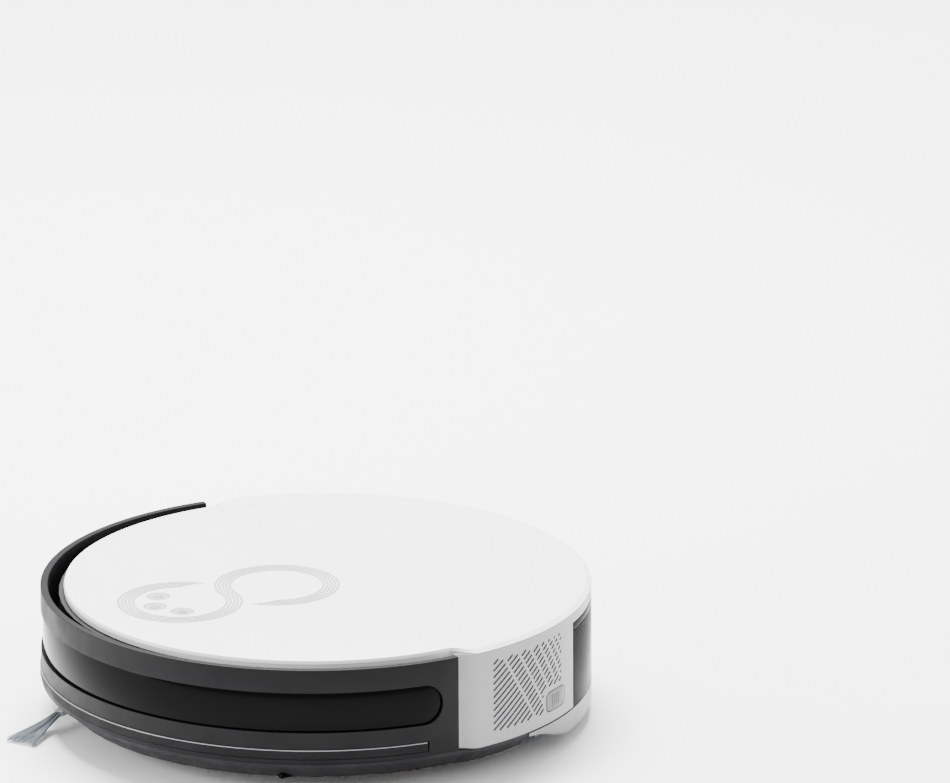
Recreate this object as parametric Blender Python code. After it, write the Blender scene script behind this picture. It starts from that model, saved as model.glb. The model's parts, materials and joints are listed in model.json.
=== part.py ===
"""Robot vacuum cleaner: a round floor robot with a sprung bumper, dust bin and mop plate.

Frame: origin on the floor under the centre of the body, +Z up, front towards -Y,
the robot's own left towards +X. Angles round the body count from the front (0)
towards the left side (90) and the rear (180).
"""
import math

import bmesh
import bpy
from mathutils import Matrix, Vector

MM = 0.001

# Overall sizes
BODY_RADIUS = 165.0 * MM        # outer face of the bumper
BODY_HEIGHT = 83.0 * MM         # floor to the top of the cover
PAN_BOTTOM = 11.0 * MM          # ground clearance under the pan

# Clearances
GAP = 0.3 * MM                  # between pieces that touch or run in each other
PLAY = 0.5 * MM                 # round pieces that slide out by hand

# Outline: the body steps out behind the bumper's ends
STEP_START = 93.5
STEP_END = 98.2
SEGMENT = 6.0                   # degrees between points on the large arcs
SHELL_INSET = 1.5 * MM          # shell and rear cover behind the bumper's face
STEP_DEPTH = 6.5 * MM           # how far the shell's front end steps in
SHELL_WALL = 2.5 * MM

# Top cover
COVER_FRONT_INSET = 14.0 * MM   # the cover's front edge from the bumper's face
COVER_RIM = 2.2 * MM
COVER_PLATE = 2.4 * MM
SKIRT_HEIGHT = 3.0 * MM
SKIRT_WALL = 2.5 * MM
SEAM = 0.3 * MM

# Inner frame
DECK_TOP_DEPTH = 5.5 * MM       # deck below the top of the cover
DECK_WALL = 2.3 * MM
FRAME_WALL = 2.5 * MM
FRAME_INSET = 11.0 * MM         # frame's front wall from the bumper's face
FOOT_INSET = 5.0 * MM
FOOT_HEIGHT = 1.3 * MM
FOOT_END = 89.0

# Bumper
BUMPER_END = 92.8
BUMPER_WALL = 4.5 * MM
BUMPER_TOP_DEPTH = 1.0 * MM
BUMPER_BOTTOM = 23.7 * MM
BUMPER_LIP = 2.7 * MM
BUMPER_LIP_HEIGHT = 1.5 * MM
WINDOW_END = 88.8
WINDOW_BOTTOM = 43.5 * MM
WINDOW_HEIGHT = 24.0 * MM
WINDOW_THICK = 1.8 * MM
WINDOW_INSET = 1.2 * MM
STRIP_END = 85.6
STRIP_BOTTOM = 26.8 * MM
STRIP_HEIGHT = 5.9 * MM
STRIP_PROUD = 0.8 * MM
STRIP_THICK = 2.5 * MM
SPRING_SEAT_X = 40.0 * MM
SPRING_SEAT_Z = 38.0 * MM
SPRING_SEAT_DEPTH = 12.0 * MM
BUMPER_COIL_R = 3.4 * MM

# Rear shell, latches and contacts
SHELL_START = 93.3
SHELL_BOTTOM = 22.1 * MM
LATCH_ANGLE = 122.0
LATCH_WIDTH = 21.4 * MM
LATCH_HEIGHT = 12.0 * MM
LATCH_Z = 35.0 * MM
LATCH_DEPTH = 4.0 * MM
CONTACT_ANGLE = 15.0            # from the rear centre line
CONTACT_WIDTH = 18.0 * MM
CONTACT_HEIGHT = 3.0 * MM
CONTACT_Z = 77.7 * MM
VENT_ANGLES = (104.0, 107.0, 110.0, 113.0)
VENT_WIDTH = 3.0 * MM
VENT_HEIGHT = 34.0 * MM
VENT_Z = 50.0 * MM
VENT_SLANT = 35.0

# Dust bin
BIN_HALF_ANGLE = 49.5           # from the rear centre line
BIN_FRONT = 66.0 * MM
BIN_BOTTOM = 21.3 * MM
BIN_TOP = 69.5 * MM
BIN_LID_TOP = 74.5 * MM
BIN_WALL = 2.0 * MM
DUCT_HALF_WIDTH = 38.0 * MM
DUCT_BOTTOM = 31.0 * MM
DUCT_HEIGHT = 14.0 * MM
DUCT_WALL = 3.0 * MM
FILTER_LOW_X = 8.0 * MM
FILTER_WIDTH = 64.0 * MM
FILTER_BOTTOM = 51.5 * MM
FILTER_HEIGHT = 15.5 * MM
FILTER_DEPTH = 12.0 * MM
FLAP_WIDTH = 44.0 * MM
FLAP_BOTTOM = 30.0 * MM
FLAP_HEIGHT = 20.0 * MM
FLAP_THICK = 1.6 * MM

# Mop plate and pad
MOP_FRONT = 62.0 * MM
MOP_TOP = 21.0 * MM
MOP_BOTTOM = 6.4 * MM
MOP_NOSE_DROP = 2.6 * MM        # thickness of the plate at its front edge
MOP_RAMP = 43.0 * MM            # length over which the underside comes down
PAD_THICK = 5.0 * MM
PAD_FRONT = 86.0 * MM
PAD_INSET = 22.0 * MM

# Base pan
PAN_FLOOR = 2.5 * MM
PAN_RIM_TOP = 21.8 * MM
PAN_BEVEL_TOP = 20.0 * MM
PAN_BEVEL = 10.0 * MM           # how far the underside slopes in
PAN_REAR = 61.7 * MM

# Wheels and suspension
WHEEL_X = 116.0 * MM
WHEEL_Y = 2.0 * MM
WHEEL_RADIUS = 35.0 * MM
TYRE_WIDTH = 22.0 * MM
TYRE_THICK = 10.7 * MM
HUB_SHAFT_R = 3.0 * MM
TYRE_TO_ARM = 1.5 * MM
ARM_THICK = 5.0 * MM
ARM_PIVOT_Y = -46.0 * MM
ARM_PIVOT_Z = 40.0 * MM
PIVOT_R = 2.5 * MM
EAR_THICK = 4.0 * MM
MOTOR_Y = -28.0 * MM
MOTOR_Z = 46.0 * MM
MOTOR_R = 11.5 * MM
MOTOR_LENGTH = 38.0 * MM
COIL_FROM_ARM = 2.0 * MM
COIL_Y = -10.0 * MM
COIL_R = 3.6 * MM
COIL_SEAT_Z = 54.0 * MM
COIL_WIRE = 1.2 * MM

# Caster
CASTER_TO_BATTERY = 4.0 * MM
CASTER_CUP_WALL = 2.5 * MM
CASTER_TRAIL = 6.0 * MM
CASTER_WHEEL_R = 12.0 * MM
CASTER_WHEEL_WIDTH = 13.0 * MM
CASTER_WELL_R = 19.5 * MM
CASTER_STEM_R = 4.0 * MM
CASTER_DISC_Z = 25.0 * MM
CASTER_DISC_THICK = 3.5 * MM
CASTER_TOP = 46.0 * MM
CASTER_AXLE_R = 1.5 * MM

# Main brush
BRUSH_R = 23.5 * MM
BRUSH_ROOM = 2.0 * MM            # round the brush, and under it to the floor
BRUSH_CORE_R = 8.0 * MM
BRUSH_END_ROOM = 8.0 * MM
BRUSH_BLADES = 5
BLADE_THICK = 2.4 * MM
BRUSH_SHAFT_R = 3.0 * MM
TUNNEL_WALL = 2.0 * MM
TUNNEL_TO_REAR = 1.2 * MM
ARM_TO_GEARBOX = 1.6 * MM
BEARING_R = 8.0 * MM
BEARING_WIDTH = 6.0 * MM
GUARD_THICK = 1.7 * MM
GUARD_RIM = 2.0 * MM
GEAR_MOTOR_Y = 10.0 * MM
GEAR_MOTOR_Z = 62.0 * MM
GEAR_MOTOR_R = 10.5 * MM
GEAR_MOTOR_LENGTH = 42.0 * MM
GEARBOX_THICK = 4.6 * MM
GEARBOX_TO_FLOOR = 3.0 * MM

# Side brush
SIDE_BRUSH_X = -61.2 * MM
SIDE_BRUSH_Y = -126.1 * MM
SIDE_HUB_R = 12.0 * MM
SIDE_HUB_TOP = 10.5 * MM
SIDE_HUB_THICK = 4.5 * MM
SIDE_ARM_LENGTH = 29.0 * MM
SIDE_BRUSH_REACH = 68.0 * MM
SIDE_BRUSH_ANGLE = -61.0        # from +X, where the first tuft points at rest
SIDE_SHAFT_R = 3.0 * MM
SIDE_GEAR_R = 9.5 * MM
SIDE_MOTOR_X = -52.0 * MM
SIDE_MOTOR_Y = -104.0 * MM
SIDE_MOTOR_R = 11.5 * MM
SIDE_GEAR_TOP = 30.0 * MM
SIDE_MOTOR_TOP = 52.0 * MM

# Electronics and suction
BATTERY_HALF_X = 36.0 * MM
BATTERY_TO_TUNNEL = 9.5 * MM
BATTERY_DEPTH = 36.0 * MM
BATTERY_HEIGHT = 37.0 * MM
DOOR_MARGIN = 3.5 * MM
BOARD_Z = 66.0 * MM
BOARD_THICK = 1.6 * MM
BOARD_HALF_X = 75.0 * MM
BOARD_LOW_Y = -85.0 * MM
BOARD_DEPTH = 80.0 * MM
POST_R = 3.0 * MM
FAN_X = 40.0 * MM
FAN_Y = 32.0 * MM
FAN_R = 27.0 * MM
FAN_WALL = 1.8 * MM
FAN_INLET_STEP = 2.2 * MM
FAN_OUTLET_X = 146.0 * MM
FAN_OUTLET_Y = 51.0 * MM
FAN_OUTLET_WIDTH = 16.0 * MM
IMPELLER_R = 22.0 * MM
FAN_SHAFT_R = 1.5 * MM
FAN_MOTOR_R = 11.0 * MM
FAN_MOTOR_HEIGHT = 6.5 * MM
FAN_BLADES = 7

# Buttons on the cover
BUTTON_R = 6.75 * MM
BUTTON_PLACES = {
    "home_button": (-15.7 * MM, -98.0 * MM),
    "power_button": (0.0, -108.0 * MM),
    "spot_button": (15.7 * MM, -98.0 * MM),
}
BUTTON_FLANGE = 1.4 * MM
BUTTON_STEM_R = 2.2 * MM
BUTTON_TRAVEL = 0.8 * MM
BUTTON_BOARD = (30.0 * MM, -120.0 * MM, -86.0 * MM)   # half width, front, rear
DECK_SLOT_MARGIN = 4.0 * MM

# Screws and sensors in the pan
SCREW_PLACES = ((62, -112), (-105, -70), (105, -70), (-140, 44), (140, 44))
SCREW_HEAD_R = 2.9 * MM
SCREW_SHANK_R = 1.4 * MM
SCREW_LENGTH = 9.6 * MM
SCREW_HEAD = 1.8 * MM
SCREW_BOSS_R = 5.0 * MM
CLIFF_PLACES = {
    "cliff_window_left": (118, -85),
    "cliff_window_right": (-118, -85),
    "cliff_window_front": (0, -135),
}
CLIFF_SIZE = (16.0 * MM, 9.0 * MM, 3.0 * MM)

# Places, radii and heights that follow
BRUSH_Z = BRUSH_R + BRUSH_ROOM
TUNNEL_R = BRUSH_R + BRUSH_ROOM
BRUSH_Y = PAN_REAR - TUNNEL_TO_REAR - TUNNEL_WALL - TUNNEL_R
BATTERY_LOW_Y = BRUSH_Y - TUNNEL_R - TUNNEL_WALL - BATTERY_TO_TUNNEL - BATTERY_DEPTH
CASTER_Y = BATTERY_LOW_Y - CASTER_TO_BATTERY - CASTER_CUP_WALL - CASTER_WELL_R
ARM_X = WHEEL_X - TYRE_WIDTH / 2.0 - TYRE_TO_ARM - ARM_THICK / 2.0
COIL_X = ARM_X - COIL_FROM_ARM
TUNNEL_HALF = ARM_X - ARM_THICK / 2.0 - ARM_TO_GEARBOX - GEARBOX_THICK - GAP - TUNNEL_WALL
BRUSH_HALF = TUNNEL_HALF - BRUSH_END_ROOM
SHELL_R = BODY_RADIUS - SHELL_INSET
FRAME_R = BODY_RADIUS - FRAME_INSET
FRAME_REAR_R = SHELL_R - SHELL_WALL - GAP
BUMPER_INNER_R = BODY_RADIUS - BUMPER_WALL
COVER_R = BODY_RADIUS - COVER_FRONT_INSET
COVER_BOTTOM = BODY_HEIGHT - COVER_RIM
DECK_TOP = BODY_HEIGHT - DECK_TOP_DEPTH
DECK_BOTTOM = DECK_TOP - DECK_WALL
SHELL_TOP = COVER_BOTTOM - SEAM
PAN_FRONT_R = BODY_RADIUS - FOOT_INSET
PAN_REAR_R = SHELL_R - GAP
PAN_INSIDE = PAN_BOTTOM + PAN_FLOOR
TUNNEL_TOP = BRUSH_Z + TUNNEL_R + TUNNEL_WALL
FAN_BOTTOM = max(TUNNEL_TOP, DUCT_BOTTOM + DUCT_HEIGHT + DUCT_WALL) + GAP
FAN_TOP = DECK_BOTTOM - GAP
BAY_FRONT = BIN_FRONT - GAP
PARTITION_FRONT = BAY_FRONT - FRAME_WALL
BIN_HALF_X = SHELL_R * math.sin(math.radians(BIN_HALF_ANGLE))


# --- shapes -------------------------------------------------------------------

def clear_scene():
    """Remove every object that the scene opens with."""
    for item in list(bpy.data.objects):
        bpy.data.objects.remove(item, do_unlink=True)


def finish(name, bm):
    """Turn a bmesh into an object with its faces pointing out."""
    bmesh.ops.recalc_face_normals(bm, faces=bm.faces)
    mesh = bpy.data.meshes.new(name)
    bm.to_mesh(mesh)
    bm.free()
    item = bpy.data.objects.new(name, mesh)
    bpy.context.collection.objects.link(item)
    return item


def skin(name, loops, closed):
    """Bridge a list of equal point loops; cap both ends, or close the row on itself."""
    bm = bmesh.new()
    rows = [[bm.verts.new(point) for point in loop] for loop in loops]
    count = len(rows[0])
    steps = len(rows) if closed else len(rows) - 1
    for i in range(steps):
        here = rows[i]
        there = rows[(i + 1) % len(rows)]
        for j in range(count):
            k = (j + 1) % count
            bm.faces.new((here[j], here[k], there[k], there[j]))
    if not closed:
        bm.faces.new(rows[0][::-1])
        bm.faces.new(rows[-1])
    return finish(name, bm)


def outline_share(angle):
    """How far the outline has stepped out at this angle, 0 in front and 1 behind."""
    turn = abs((angle + 180.0) % 360.0 - 180.0)
    share = (turn - STEP_START) / (STEP_END - STEP_START)
    share = min(1.0, max(0.0, share))
    return share * share * (3.0 - 2.0 * share)


def polar(front, rear, angle, z):
    """A point at an angle from the front, its radius following the stepped outline."""
    radius = front + (rear - front) * outline_share(angle)
    turn = math.radians(angle)
    return (radius * math.sin(turn), -radius * math.cos(turn), z)


def angles_between(start, end):
    """Angles shared by every large arc, with finer ones across the two steps."""
    marks = {start, end}
    count = int(360.0 / SEGMENT)
    for i in range(-count, count + 1):
        marks.add(i * SEGMENT)
    for i in range(1, 5):
        mark = STEP_START + (STEP_END - STEP_START) * i / 5.0
        marks.update((mark, -mark, 360.0 - mark))
    return sorted(mark for mark in marks if start <= mark <= end)


def swept(name, profile, start, end):
    """Sweep a closed profile of (front radius, rear radius, height) between two angles."""
    loops = [[polar(front, rear, angle, z) for front, rear, z in profile]
             for angle in angles_between(start, end)]
    return skin(name, loops, False)


def stacked(name, rings):
    """A full-turn solid from rings of (front radius, rear radius, height)."""
    angles = angles_between(0.0, 360.0)[:-1]
    loops = [[polar(front, rear, angle, z) for angle in angles] for front, rear, z in rings]
    return skin(name, loops, False)


def prism(name, points, low, high):
    """Extrude a plan outline from one height to another."""
    return skin(name, [[(x, y, z) for x, y in points] for z in (low, high)], False)


def plate_x(name, points, low, high):
    """Extrude a (y, z) outline along X."""
    return skin(name, [[(x, y, z) for y, z in points] for x in (low, high)], False)


def box(name, low, high):
    """A box between two corners."""
    points = [(low[0], low[1]), (high[0], low[1]), (high[0], high[1]), (low[0], high[1])]
    return prism(name, points, low[2], high[2])


def turned(name, profile, place, axis, sides):
    """Revolve (radius, distance along the axis) pairs about an axis through a place."""
    rings = []
    for radius, along in profile:
        ring = []
        for i in range(sides):
            turn = 2.0 * math.pi * (i + 0.5) / sides
            ring.append((radius * math.cos(turn), radius * math.sin(turn), along))
        rings.append(ring)
    item = skin(name, rings, False)
    spin = Vector((0.0, 0.0, 1.0)).rotation_difference(Vector(axis)).to_matrix().to_4x4()
    item.data.transform(Matrix.Translation(place) @ spin)
    return item


def rod(name, radius, start, end, sides=20):
    """A cylinder between two points."""
    along = Vector(end) - Vector(start)
    return turned(name, ((radius, 0.0), (radius, along.length)), start, along, sides)


def ring(name, inner, outer, start, end, sides=20):
    """A short tube between two points."""
    item = rod(name, outer, start, end, sides)
    along = (Vector(end) - Vector(start)).normalized() * PLAY
    return cut(item, rod("cutter", inner, Vector(start) - along, Vector(end) + along, sides))


def slab_at(name, angle, inner, outer, width, low, high):
    """A block with straight sides that faces out at an angle round the body."""
    item = box(name, (-width / 2.0, -outer, low), (width / 2.0, -inner, high))
    item.data.transform(Matrix.Rotation(math.radians(angle), 4, "Z"))
    return item


def coil(name, radius, wire, turns, start, end):
    """A round-wire spring with closed ends between two points."""
    sides = 4
    steps = 9 * turns
    along = Vector(end) - Vector(start)
    length = along.length - wire
    loops = []
    for i in range(steps + 1):
        share = i / steps
        turn = 2.0 * math.pi * turns * share
        middle = Vector((radius * math.cos(turn), radius * math.sin(turn),
                         wire / 2.0 + length * share))
        out = Vector((math.cos(turn), math.sin(turn), 0.0))
        loop = []
        for j in range(sides):
            bend = 2.0 * math.pi * j / sides
            loop.append(middle + out * (wire / 2.0 * math.cos(bend))
                        + Vector((0.0, 0.0, wire / 2.0 * math.sin(bend))))
        loops.append(loop)
    item = skin(name, loops, False)
    spin = Vector((0.0, 0.0, 1.0)).rotation_difference(along).to_matrix().to_4x4()
    item.data.transform(Matrix.Translation(start) @ spin)
    return item


def hull_outline(circles, points_per_circle=16):
    """The convex outline round a few circles of (u, v, radius)."""
    cloud = []
    for u, v, radius in circles:
        for i in range(points_per_circle):
            turn = 2.0 * math.pi * i / points_per_circle
            cloud.append((u + radius * math.cos(turn), v + radius * math.sin(turn)))
    cloud.sort()

    def half(points):
        chain = []
        for point in points:
            while len(chain) > 1:
                a, b = chain[-2], chain[-1]
                area = (b[0] - a[0]) * (point[1] - a[1]) - (b[1] - a[1]) * (point[0] - a[0])
                if area > 1e-9:
                    break
                chain.pop()
            chain.append(point)
        return chain[:-1]

    return half(cloud) + half(cloud[::-1])


def combine(item, other, operation):
    """Apply a Boolean with another object and remove that object."""
    modifier = item.modifiers.new("combine", "BOOLEAN")
    modifier.operation = operation
    modifier.solver = "EXACT"
    modifier.object = other
    bpy.context.view_layer.update()
    seen = item.evaluated_get(bpy.context.evaluated_depsgraph_get())
    mesh = bpy.data.meshes.new_from_object(seen)
    item.modifiers.clear()
    item.data = mesh
    bpy.data.objects.remove(other, do_unlink=True)
    return item


def cut(item, *cutters):
    """Cut each cutter out of the item."""
    for cutter in cutters:
        combine(item, cutter, "DIFFERENCE")
    return item


def join(item, *others):
    """Unite the item with each of the others."""
    for other in others:
        combine(item, other, "UNION")
    return item


def move_origin(item, place):
    """Put an object's origin on its joint axis without moving its shape."""
    item.data.transform(Matrix.Translation(-Vector(place)))
    item.location = place
    return item


def material(name, colour, roughness, metallic=0.0, alpha=1.0):
    """A plain Principled material."""
    made = bpy.data.materials.new(name)
    made.use_nodes = True
    shader = made.node_tree.nodes["Principled BSDF"]
    shader.inputs["Base Color"].default_value = (*colour, 1.0)
    shader.inputs["Roughness"].default_value = roughness
    shader.inputs["Metallic"].default_value = metallic
    shader.inputs["Alpha"].default_value = alpha
    return made


def dress(item, colour, roughness, metallic=0.0, alpha=1.0, smooth=35.0):
    """Give a finished piece its name's mesh, material and shading."""
    item.data.name = item.name
    item.data.materials.clear()
    item.data.materials.append(material(item.name, colour, roughness, metallic, alpha))
    item.data.shade_smooth()
    item.data.set_sharp_from_angle(angle=math.radians(smooth))
    return item


# --- colours ------------------------------------------------------------------

WHITE = (0.86, 0.86, 0.85)
SILVER = (0.60, 0.61, 0.62)
BLACK = (0.02, 0.02, 0.022)
GLOSS_BLACK = (0.004, 0.004, 0.005)
DARK_GREY = (0.06, 0.06, 0.065)
LIGHT_GREY = (0.55, 0.56, 0.57)
SMOKE = (0.10, 0.10, 0.11)
RUBBER = (0.025, 0.025, 0.027)
STEEL = (0.62, 0.62, 0.63)
COPPER = (0.80, 0.62, 0.36)
BOARD_GREEN = (0.02, 0.14, 0.07)
BLUE_GREY = (0.35, 0.45, 0.52)


# --- casings ------------------------------------------------------------------

def make_top_cover():
    """White lid plate: bevelled in front, rounded over the shell behind."""
    top = BODY_HEIGHT
    skirt_rear = FRAME_REAR_R - GAP
    cover = stacked("top_cover", (
        (COVER_R - SKIRT_WALL, skirt_rear - SKIRT_WALL, top - COVER_PLATE),
        (COVER_R - SKIRT_WALL, skirt_rear - SKIRT_WALL, COVER_BOTTOM - SKIRT_HEIGHT),
        (COVER_R - GAP, skirt_rear, COVER_BOTTOM - SKIRT_HEIGHT),
        (COVER_R - GAP, skirt_rear, COVER_BOTTOM),
        (COVER_R, SHELL_R, COVER_BOTTOM),
        (COVER_R - 0.3 * MM, SHELL_R - 0.7 * MM, COVER_BOTTOM + 0.55 * COVER_RIM),
        (COVER_R - 0.7 * MM, SHELL_R - 2.9 * MM, top),
    ))
    for x, y in BUTTON_PLACES.values():
        hole = BUTTON_R + GAP
        cut(cover, rod("cutter", hole, (x, y, top - 2 * COVER_PLATE), (x, y, top + PLAY), 20))
    return dress(cover, WHITE, 0.35)


def make_buttons():
    """Three round caps with a flange under the cover and a stem to the board."""
    under = BODY_HEIGHT - COVER_PLATE
    flange_top = under - GAP
    flange_bottom = flange_top - BUTTON_FLANGE
    stem_end = DECK_BOTTOM + BUTTON_TRAVEL
    for name, (x, y) in BUTTON_PLACES.items():
        profile = (
            (BUTTON_STEM_R, stem_end),
            (BUTTON_STEM_R, flange_bottom),
            (BUTTON_R + 4 * GAP, flange_bottom),
            (BUTTON_R + 4 * GAP, flange_top),
            (BUTTON_R, flange_top),
            (BUTTON_R, BODY_HEIGHT - 0.6 * MM),
            (BUTTON_R - 0.4 * MM, BODY_HEIGHT - 0.2 * MM),
        )
        button = turned(name, profile, (x, y, 0.0), (0.0, 0.0, 1.0), 20)
        dress(move_origin(button, (x, y, flange_top)), WHITE, 0.3)


def make_bumper():
    """Sprung front bumper: ring wall with a window recess, strip groove and lip."""
    top = BODY_HEIGHT - BUMPER_TOP_DEPTH
    low = BUMPER_BOTTOM
    outer = BODY_RADIUS
    inner = BUMPER_INNER_R
    bevel = 1.6 * MM
    lip = inner - BUMPER_LIP + GAP
    corners = [(lip, low), (outer - bevel, low), (outer, low + 2 * bevel),
               (outer, top - 0.6 * MM), (outer - 0.8 * MM, top), (inner, top),
               (inner, low + BUMPER_LIP_HEIGHT), (lip, low + BUMPER_LIP_HEIGHT)]
    bumper = swept("bumper", [(r, r, z) for r, z in corners], -BUMPER_END, BUMPER_END)
    recess_r = outer - WINDOW_INSET - WINDOW_THICK - GAP
    groove_r = outer + STRIP_PROUD - STRIP_THICK - GAP
    reach = outer + 5 * MM
    for radius, base, height, end in (
            (recess_r, WINDOW_BOTTOM, WINDOW_HEIGHT, WINDOW_END),
            (groove_r, STRIP_BOTTOM, STRIP_HEIGHT, STRIP_END)):
        profile = [(r, r, z) for r, z in (
            (radius, base - GAP), (reach, base - GAP),
            (reach, base + height + GAP), (radius, base + height + GAP))]
        cut(bumper, swept("cutter", profile, -end - 0.3, end + 0.3))
    dress(bumper, BLACK, 0.5)

    face = outer - WINDOW_INSET
    window = [(r, r, z) for r, z in (
        (face - WINDOW_THICK, WINDOW_BOTTOM), (face - 0.3 * MM, WINDOW_BOTTOM),
        (face, WINDOW_BOTTOM + 0.5 * MM), (face, WINDOW_BOTTOM + WINDOW_HEIGHT - 0.5 * MM),
        (face - 0.3 * MM, WINDOW_BOTTOM + WINDOW_HEIGHT),
        (face - WINDOW_THICK, WINDOW_BOTTOM + WINDOW_HEIGHT))]
    dress(swept("bumper_window", window, -WINDOW_END, WINDOW_END), GLOSS_BLACK, 0.05)

    proud = outer + STRIP_PROUD
    strip = [(r, r, z) for r, z in (
        (proud - STRIP_THICK, STRIP_BOTTOM), (proud - 0.6 * MM, STRIP_BOTTOM),
        (proud, STRIP_BOTTOM + 1 * MM), (proud, STRIP_BOTTOM + STRIP_HEIGHT - 1 * MM),
        (proud - 0.6 * MM, STRIP_BOTTOM + STRIP_HEIGHT),
        (proud - STRIP_THICK, STRIP_BOTTOM + STRIP_HEIGHT))]
    dress(swept("bumper_strip", strip, -STRIP_END, STRIP_END), RUBBER, 0.7)


def bumper_spring_ends(side):
    """The two ends of a bumper spring, in its bored seat and at the bumper's wall."""
    x = side * SPRING_SEAT_X
    edge = SPRING_SEAT_X + BUMPER_COIL_R + COIL_WIRE
    wall = math.cos(math.radians(SEGMENT / 2.0)) * BUMPER_INNER_R
    front = -math.sqrt(wall ** 2 - edge ** 2) + GAP
    seat = -math.sqrt(FRAME_R ** 2 - SPRING_SEAT_X ** 2) + SPRING_SEAT_DEPTH
    return (x, seat - GAP, SPRING_SEAT_Z), (x, front, SPRING_SEAT_Z)


def make_bumper_springs():
    """Two small coils that push the bumper forward."""
    for name, side in (("bumper_spring_left", 1), ("bumper_spring_right", -1)):
        start, end = bumper_spring_ends(side)
        spring = coil(name, BUMPER_COIL_R, COIL_WIRE, 5, start, end)
        dress(spring, STEEL, 0.3, 1.0)


def make_side_shell():
    """Silver shell round the sides and rear, open for the bin, latches and vents."""
    profile = [(r - STEP_DEPTH, r, z) for r, z in (
        (SHELL_R - SHELL_WALL, SHELL_BOTTOM), (SHELL_R, SHELL_BOTTOM),
        (SHELL_R, SHELL_TOP), (SHELL_R - SHELL_WALL, SHELL_TOP))]
    shell = swept("side_shell", profile, SHELL_START, 360.0 - SHELL_START)
    half = BIN_HALF_X + GAP
    cut(shell, box("cutter", (-half, BIN_FRONT, SHELL_BOTTOM - 5 * MM),
                   (half, 2 * SHELL_R, BIN_LID_TOP + GAP)))
    for angle in (LATCH_ANGLE, -LATCH_ANGLE):
        cut(shell, slab_at("cutter", angle, SHELL_R - 8 * MM, SHELL_R + 5 * MM,
                           LATCH_WIDTH + 2 * GAP, LATCH_Z - LATCH_HEIGHT / 2 - GAP,
                           LATCH_Z + LATCH_HEIGHT / 2 + GAP))
    for angle in (180.0 - CONTACT_ANGLE, 180.0 + CONTACT_ANGLE):
        cut(shell, slab_at("cutter", angle, SHELL_R - 8 * MM, SHELL_R + 5 * MM,
                           CONTACT_WIDTH + 2 * GAP, CONTACT_Z - CONTACT_HEIGHT / 2 - GAP,
                           CONTACT_Z + CONTACT_HEIGHT / 2 + GAP))
    for angle in VENT_ANGLES:
        for side in (1, -1):
            vent = box("cutter", (-VENT_WIDTH / 2, -SHELL_R - 5 * MM, -VENT_HEIGHT / 2),
                       (VENT_WIDTH / 2, -SHELL_R + 8 * MM, VENT_HEIGHT / 2))
            slant = Matrix.Rotation(math.radians(side * VENT_SLANT), 4, "Y")
            spin = Matrix.Rotation(math.radians(side * angle), 4, "Z")
            lift = Matrix.Translation((0.0, 0.0, VENT_Z))
            vent.data.transform(lift @ spin @ slant)
            cut(shell, vent)
    return dress(shell, SILVER, 0.4)


def make_latches():
    """Two push latches, one in each side of the shell."""
    outer = SHELL_R + 0.4 * MM
    for name, angle in (("latch_left", LATCH_ANGLE), ("latch_right", -LATCH_ANGLE)):
        latch = slab_at(name, angle, outer - LATCH_DEPTH, outer, LATCH_WIDTH,
                        LATCH_Z - LATCH_HEIGHT / 2, LATCH_Z + LATCH_HEIGHT / 2)
        dress(move_origin(latch, polar(outer, outer, angle, LATCH_Z)), LIGHT_GREY, 0.4)


def make_contacts():
    """Two charging contacts in the band over the bin."""
    for name, angle in (("charge_contact_left", 180.0 - CONTACT_ANGLE),
                        ("charge_contact_right", 180.0 + CONTACT_ANGLE)):
        contact = slab_at(name, angle, FRAME_REAR_R + GAP, SHELL_R + 0.3 * MM, CONTACT_WIDTH,
                          CONTACT_Z - CONTACT_HEIGHT / 2, CONTACT_Z + CONTACT_HEIGHT / 2)
        dress(contact, COPPER, 0.25, 1.0)


# --- frame and pan --------------------------------------------------------------

def bin_outline(inset):
    """Plan outline of the dust bin, drawn in by an inset all round."""
    half = BIN_HALF_X - inset
    radius = SHELL_R - inset
    reach = math.degrees(math.asin(half / radius))
    points = [(half, BIN_FRONT + inset)]
    for angle in angles_between(180.0 - reach, 180.0 + reach):
        points.append(polar(radius, radius, angle, 0.0)[:2])
    points.append((-half, BIN_FRONT + inset))
    return points


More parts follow.
